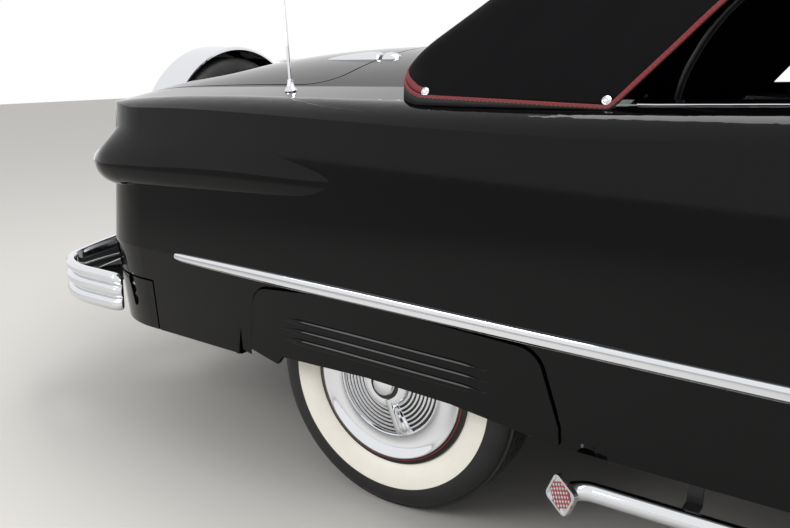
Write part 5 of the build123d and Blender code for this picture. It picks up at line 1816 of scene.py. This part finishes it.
def gauge(name, y, z, radius):
    """Round instrument: bright bezel, cream face with divisions, and a pointer."""
    centre = Vector(spot(DASH_FACE_S, y, z))
    rows = ((-0.004, 0.0), (-0.004, radius), (0.006, radius), (0.010, radius * 0.96), (0.009, radius * 0.88),
            (0.003, radius * 0.84, 1), (0.0028, radius * 0.5, 1), (0.0028, 0.0, 1))
    lathe(name + "_face", rows, centre, DASH_OUT, materials=["chrome", "dial"], steps=64)
    up = Vector((0, 0, 1))
    across = DASH_OUT.cross(up)
    verts, faces = [], []
    for i, degrees in enumerate(steps_from(-GAUGE_SWEEP, GAUGE_SWEEP, GAUGE_MARKS)):
        turn = radians(degrees)
        way = up * cos(turn) + across * sin(turn)
        flat = up * -sin(turn) + across * cos(turn)
        inner, outer = radius * (0.73 if i % 4 else 0.66), radius * 0.79
        half = 0.0007 if i % 4 else 0.0012
        start = len(verts)
        for lift in (0.0030, 0.0036):
            verts += [centre + DASH_OUT * lift + way * a + flat * b
                      for a, b in ((inner, -half), (outer, -half), (outer, half), (inner, half))]
        faces += [tuple(range(start, start + 4)), tuple(range(start + 4, start + 8))]
        faces += ring_faces(2, 4, start)
    solid(name + "_divisions", verts, faces, slot="trim", materials=["dash_paint"], smooth=False)
    turn = radians(POINTER_TURN)
    way = up * cos(turn) + across * sin(turn)
    needle = [centre + DASH_OUT * 0.0055 + way * radius * part for part in (-0.15, 0.0, 0.35, 0.74)]
    sweep(name + "_pointer", needle, oval(0.0032, 0.0016, 8), slot="trim", materials=["cap_red"], up=DASH_OUT,
          shares=(0.8, 1.0, 0.7, 0.25))


def dash_trim():
    """Speaker bars, knobs and a bright strip across the dash."""
    for i in range(SPEAKER_BARS):
        foot = Vector(spot(DASH_FACE_S + 0.0005, BAR_START + BAR_PITCH * i, BAR_Z))
        bar = [foot + Vector((0.0015, 0, 0)), foot + Vector((-0.002, 0, BAR_HEIGHT))]
        sweep("speaker_bar_" + str(i + 1), bar, oval(0.006, 0.007), up=(-1, 0, 0))
    for number, (y, z) in enumerate(KNOB_PLACES):
        lathe("dash_knob_" + str(number + 1), DASH_KNOB, spot(DASH_FACE_S + 0.002, y, z), DASH_OUT, steps=24)
    strip = [spot(DASH_STRIP_S, y, DASH_STRIP_Z) for y in steps_from(-DASH_STRIP_HALF, DASH_STRIP_HALF, 4)]
    sweep("dash_strip", strip, oval(0.010, 0.007))
    sweep("glove_box_edge", [spot(DASH_FACE_S + 0.001, y, z) for y, z in GLOVE_BOX], oval(0.004, 0.004, 8),
          up=(-1, 0, 0))


def wheel_trim():
    """Horn ring, its spokes and cap on the steering wheel."""
    body, lean = "steering_wheel", radians(WHEEL_LEAN)
    out = Vector((-cos(lean), 0, sin(lean)))
    centre = Vector(spot(*WHEEL_PLACE))
    lathe("horn_cap", HORN_CAP, centre, out, body, steps=48)
    side = Vector((0, 1, 0))
    up = out.cross(side)

    def on_wheel(lift, turn, radius):
        return centre + out * lift + (side * cos(turn) + up * sin(turn)) * radius

    ring = [on_wheel(HORN_LIFT, 2 * pi * i / HORN_STEPS, HORN_RADIUS) for i in range(HORN_STEPS + 2)]
    sweep("horn_ring", ring, oval(0.008, 0.008, 8), body, up=out)
    for number in range(4):
        spoke = [on_wheel(SPOKE_LIFT, pi / 2 * number, radius) for radius in SPOKE_RADII]
        sweep("horn_spoke_" + str(number + 1), spoke, oval(0.010, 0.006, 8), body, up=out)


class CONV_OT_cabin(bpy.types.Operator):
    """Fit the door cards, carpet, dash and steering wheel trim"""
    bl_idname = "convertible.cabin"
    bl_label = "Cabin trim"

    def execute(self, context):
        y = abs(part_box("door_right")[1].y)
        for side, sign in SIDES:
            wall_pad("door_card_" + side, DOOR_CARD, y, sign, "door_" + side)
            wall_pad("quarter_card_" + side, QUARTER_CARD, y, sign, CHASSIS)
            door_fittings(side, sign, y)
        carpet()
        for number, row in enumerate(GAUGES):
            gauge("gauge_" + str(number + 1), *row)
        dash_trim()
        wheel_trim()
        return {"FINISHED"}


# Stage

FLOOR_REACH = 14.0
# Light from the world below and above, between these heights of the view's direction
WORLD_LOW, WORLD_HIGH, WORLD_DARK, WORLD_BRIGHT = -0.1, 0.6, 0.35, 0.9
# Lamps: name, place, target, size and power. One is overhead, one wide at the rear right.
LAMPS = (
    ("ceiling_softbox", (0.3, 0.2, 5.0), (0.2, 0, 0), (6.0, 2.4), 240),
    ("side_softbox", (-3.5, -5.0, 3.2), (0, 0, 0.6), (3.0, 2.0), 120),
)
CAMERA_PLACE = (1.0636, -2.4261, 1.1432)
CAMERA_YAW, CAMERA_PITCH, CAMERA_ROLL = 32.641, 14.444, 1.241
FOCAL_PIXELS, PHOTO_WIDTH, SENSOR_MM = 850.0, 790.0, 36.0


def make_floor():
    """Pale matte studio floor."""
    mesh = bpy.data.meshes.new("floor")
    corners = [(x * FLOOR_REACH, y * FLOOR_REACH, 0) for x, y in ((-1, -1), (1, -1), (1, 1), (-1, 1))]
    mesh.from_pydata(corners, [], [(0, 1, 2, 3)])
    floor = bpy.data.objects.new("floor", mesh)
    bpy.context.collection.objects.link(floor)
    mesh.materials.append(surface("pale_studio_floor", srgb("c3c1bd"), 0.6, Specular_IOR_Level=0.2))


def make_world():
    """White to the camera and in reflections; to the surfaces it lights, brighter above than below."""
    world = bpy.data.worlds.new("studio")
    bpy.context.scene.world = world
    world.use_nodes = True
    tree = world.node_tree
    tree.nodes.clear()
    where = add_node(tree, "ShaderNodeTexCoord")
    split = add_node(tree, "ShaderNodeSeparateXYZ", {"Vector": where.outputs["Generated"]})
    ramp = add_node(tree, "ShaderNodeMapRange",
                    {"Value": split.outputs["Z"], "From Min": WORLD_LOW, "From Max": WORLD_HIGH,
                     "To Min": WORLD_DARK, "To Max": WORLD_BRIGHT}, interpolation_type="SMOOTHSTEP")
    path = add_node(tree, "ShaderNodeLightPath")
    seen = path.outputs["Is Camera Ray"]
    for other in ("Is Glossy Ray", "Is Transmission Ray"):
        either = add_node(tree, "ShaderNodeMath", {0: seen, 1: path.outputs[other]}, operation="MAXIMUM")
        seen = either.outputs[0]
    light = add_node(tree, "ShaderNodeMix", {"Factor": seen, 2: ramp.outputs[0], 3: 1.0}, data_type="FLOAT")
    back = add_node(tree, "ShaderNodeBackground", {"Color": (1, 1, 1, 1), "Strength": light.outputs[0]})
    add_node(tree, "ShaderNodeOutputWorld", {"Surface": back.outputs[0]})


def area_light(name, place, target, size, power):
    """Soft rectangular lamp that faces a target."""
    data = bpy.data.lights.new(name, "AREA")
    data.shape = "RECTANGLE"
    data.size, data.size_y = size
    data.energy = power
    made = bpy.data.objects.new(name, data)
    made.location = place
    made.rotation_euler = (Vector(target) - Vector(place)).to_track_quat("-Z", "Y").to_euler()
    bpy.context.collection.objects.link(made)


def make_camera():
    """Camera at the photograph's place and angle, measured from the rear axle."""
    yaw, pitch, roll = (radians(a) for a in (CAMERA_YAW, CAMERA_PITCH, CAMERA_ROLL))
    ahead = Vector((-sin(yaw) * cos(pitch), cos(yaw) * cos(pitch), -sin(pitch)))
    right = ahead.cross(Vector((0, 0, 1))).normalized()
    up = right.cross(ahead)
    rows = right * cos(roll) + up * sin(roll), up * cos(roll) - right * sin(roll), -ahead
    axes = Matrix(rows).transposed()
    data = bpy.data.cameras.new("photo_camera")
    data.sensor_width = SENSOR_MM
    data.lens = SENSOR_MM * FOCAL_PIXELS / PHOTO_WIDTH
    made = bpy.data.objects.new("photo_camera", data)
    bpy.context.collection.objects.link(made)
    made.matrix_world = Matrix.Translation(spot(*CAMERA_PLACE)) @ axes.to_4x4()
    bpy.context.scene.camera = made


class CONV_OT_stage(bpy.types.Operator):
    """Set the floor, the lights, the world and the camera"""
    bl_idname = "convertible.stage"
    bl_label = "Stage"

    def execute(self, context):
        make_floor()
        make_world()
        for row in LAMPS:
            area_light(*row)
        make_camera()
        context.scene.view_settings.view_transform = "Standard"
        return {"FINISHED"}


OPERATORS = (CONV_OT_panels, CONV_OT_wheels, CONV_OT_mouldings, CONV_OT_soft_top, CONV_OT_bows,
             CONV_OT_brightwork, CONV_OT_spare, CONV_OT_pipe_caps, CONV_OT_seats, CONV_OT_cabin,
             CONV_OT_stage)


class VIEW3D_PT_convertible(bpy.types.Panel):
    """Sizes, colours and pieces of the convertible"""
    bl_label = "Convertible"
    bl_space_type = "VIEW_3D"
    bl_region_type = "UI"
    bl_category = "Convertible"

    def draw(self, context):
        for settings in (context.scene.convertible_colours, context.scene.convertible_sizes):
            box = self.layout.box()
            for key in settings.bl_rna.properties.keys():
                if key not in ("rna_type", "name"):
                    box.prop(settings, key)
        for cls in OPERATORS:
            self.layout.operator(cls.bl_idname)


CLASSES = (ConvertibleColours, ConvertibleSizes, *OPERATORS, VIEW3D_PT_convertible)


def register():
    for cls in CLASSES:
        bpy.utils.register_class(cls)
    bpy.types.Scene.convertible_colours = bpy.props.PointerProperty(type=ConvertibleColours)
    bpy.types.Scene.convertible_sizes = bpy.props.PointerProperty(type=ConvertibleSizes)


def unregister():
    del bpy.types.Scene.convertible_sizes
    del bpy.types.Scene.convertible_colours
    for cls in reversed(CLASSES):
        bpy.utils.unregister_class(cls)


def main():
    register()
    for cls in OPERATORS:
        group, name = cls.bl_idname.split(".")
        getattr(getattr(bpy.ops, group), name)()


if __name__ == "__main__":
    main()
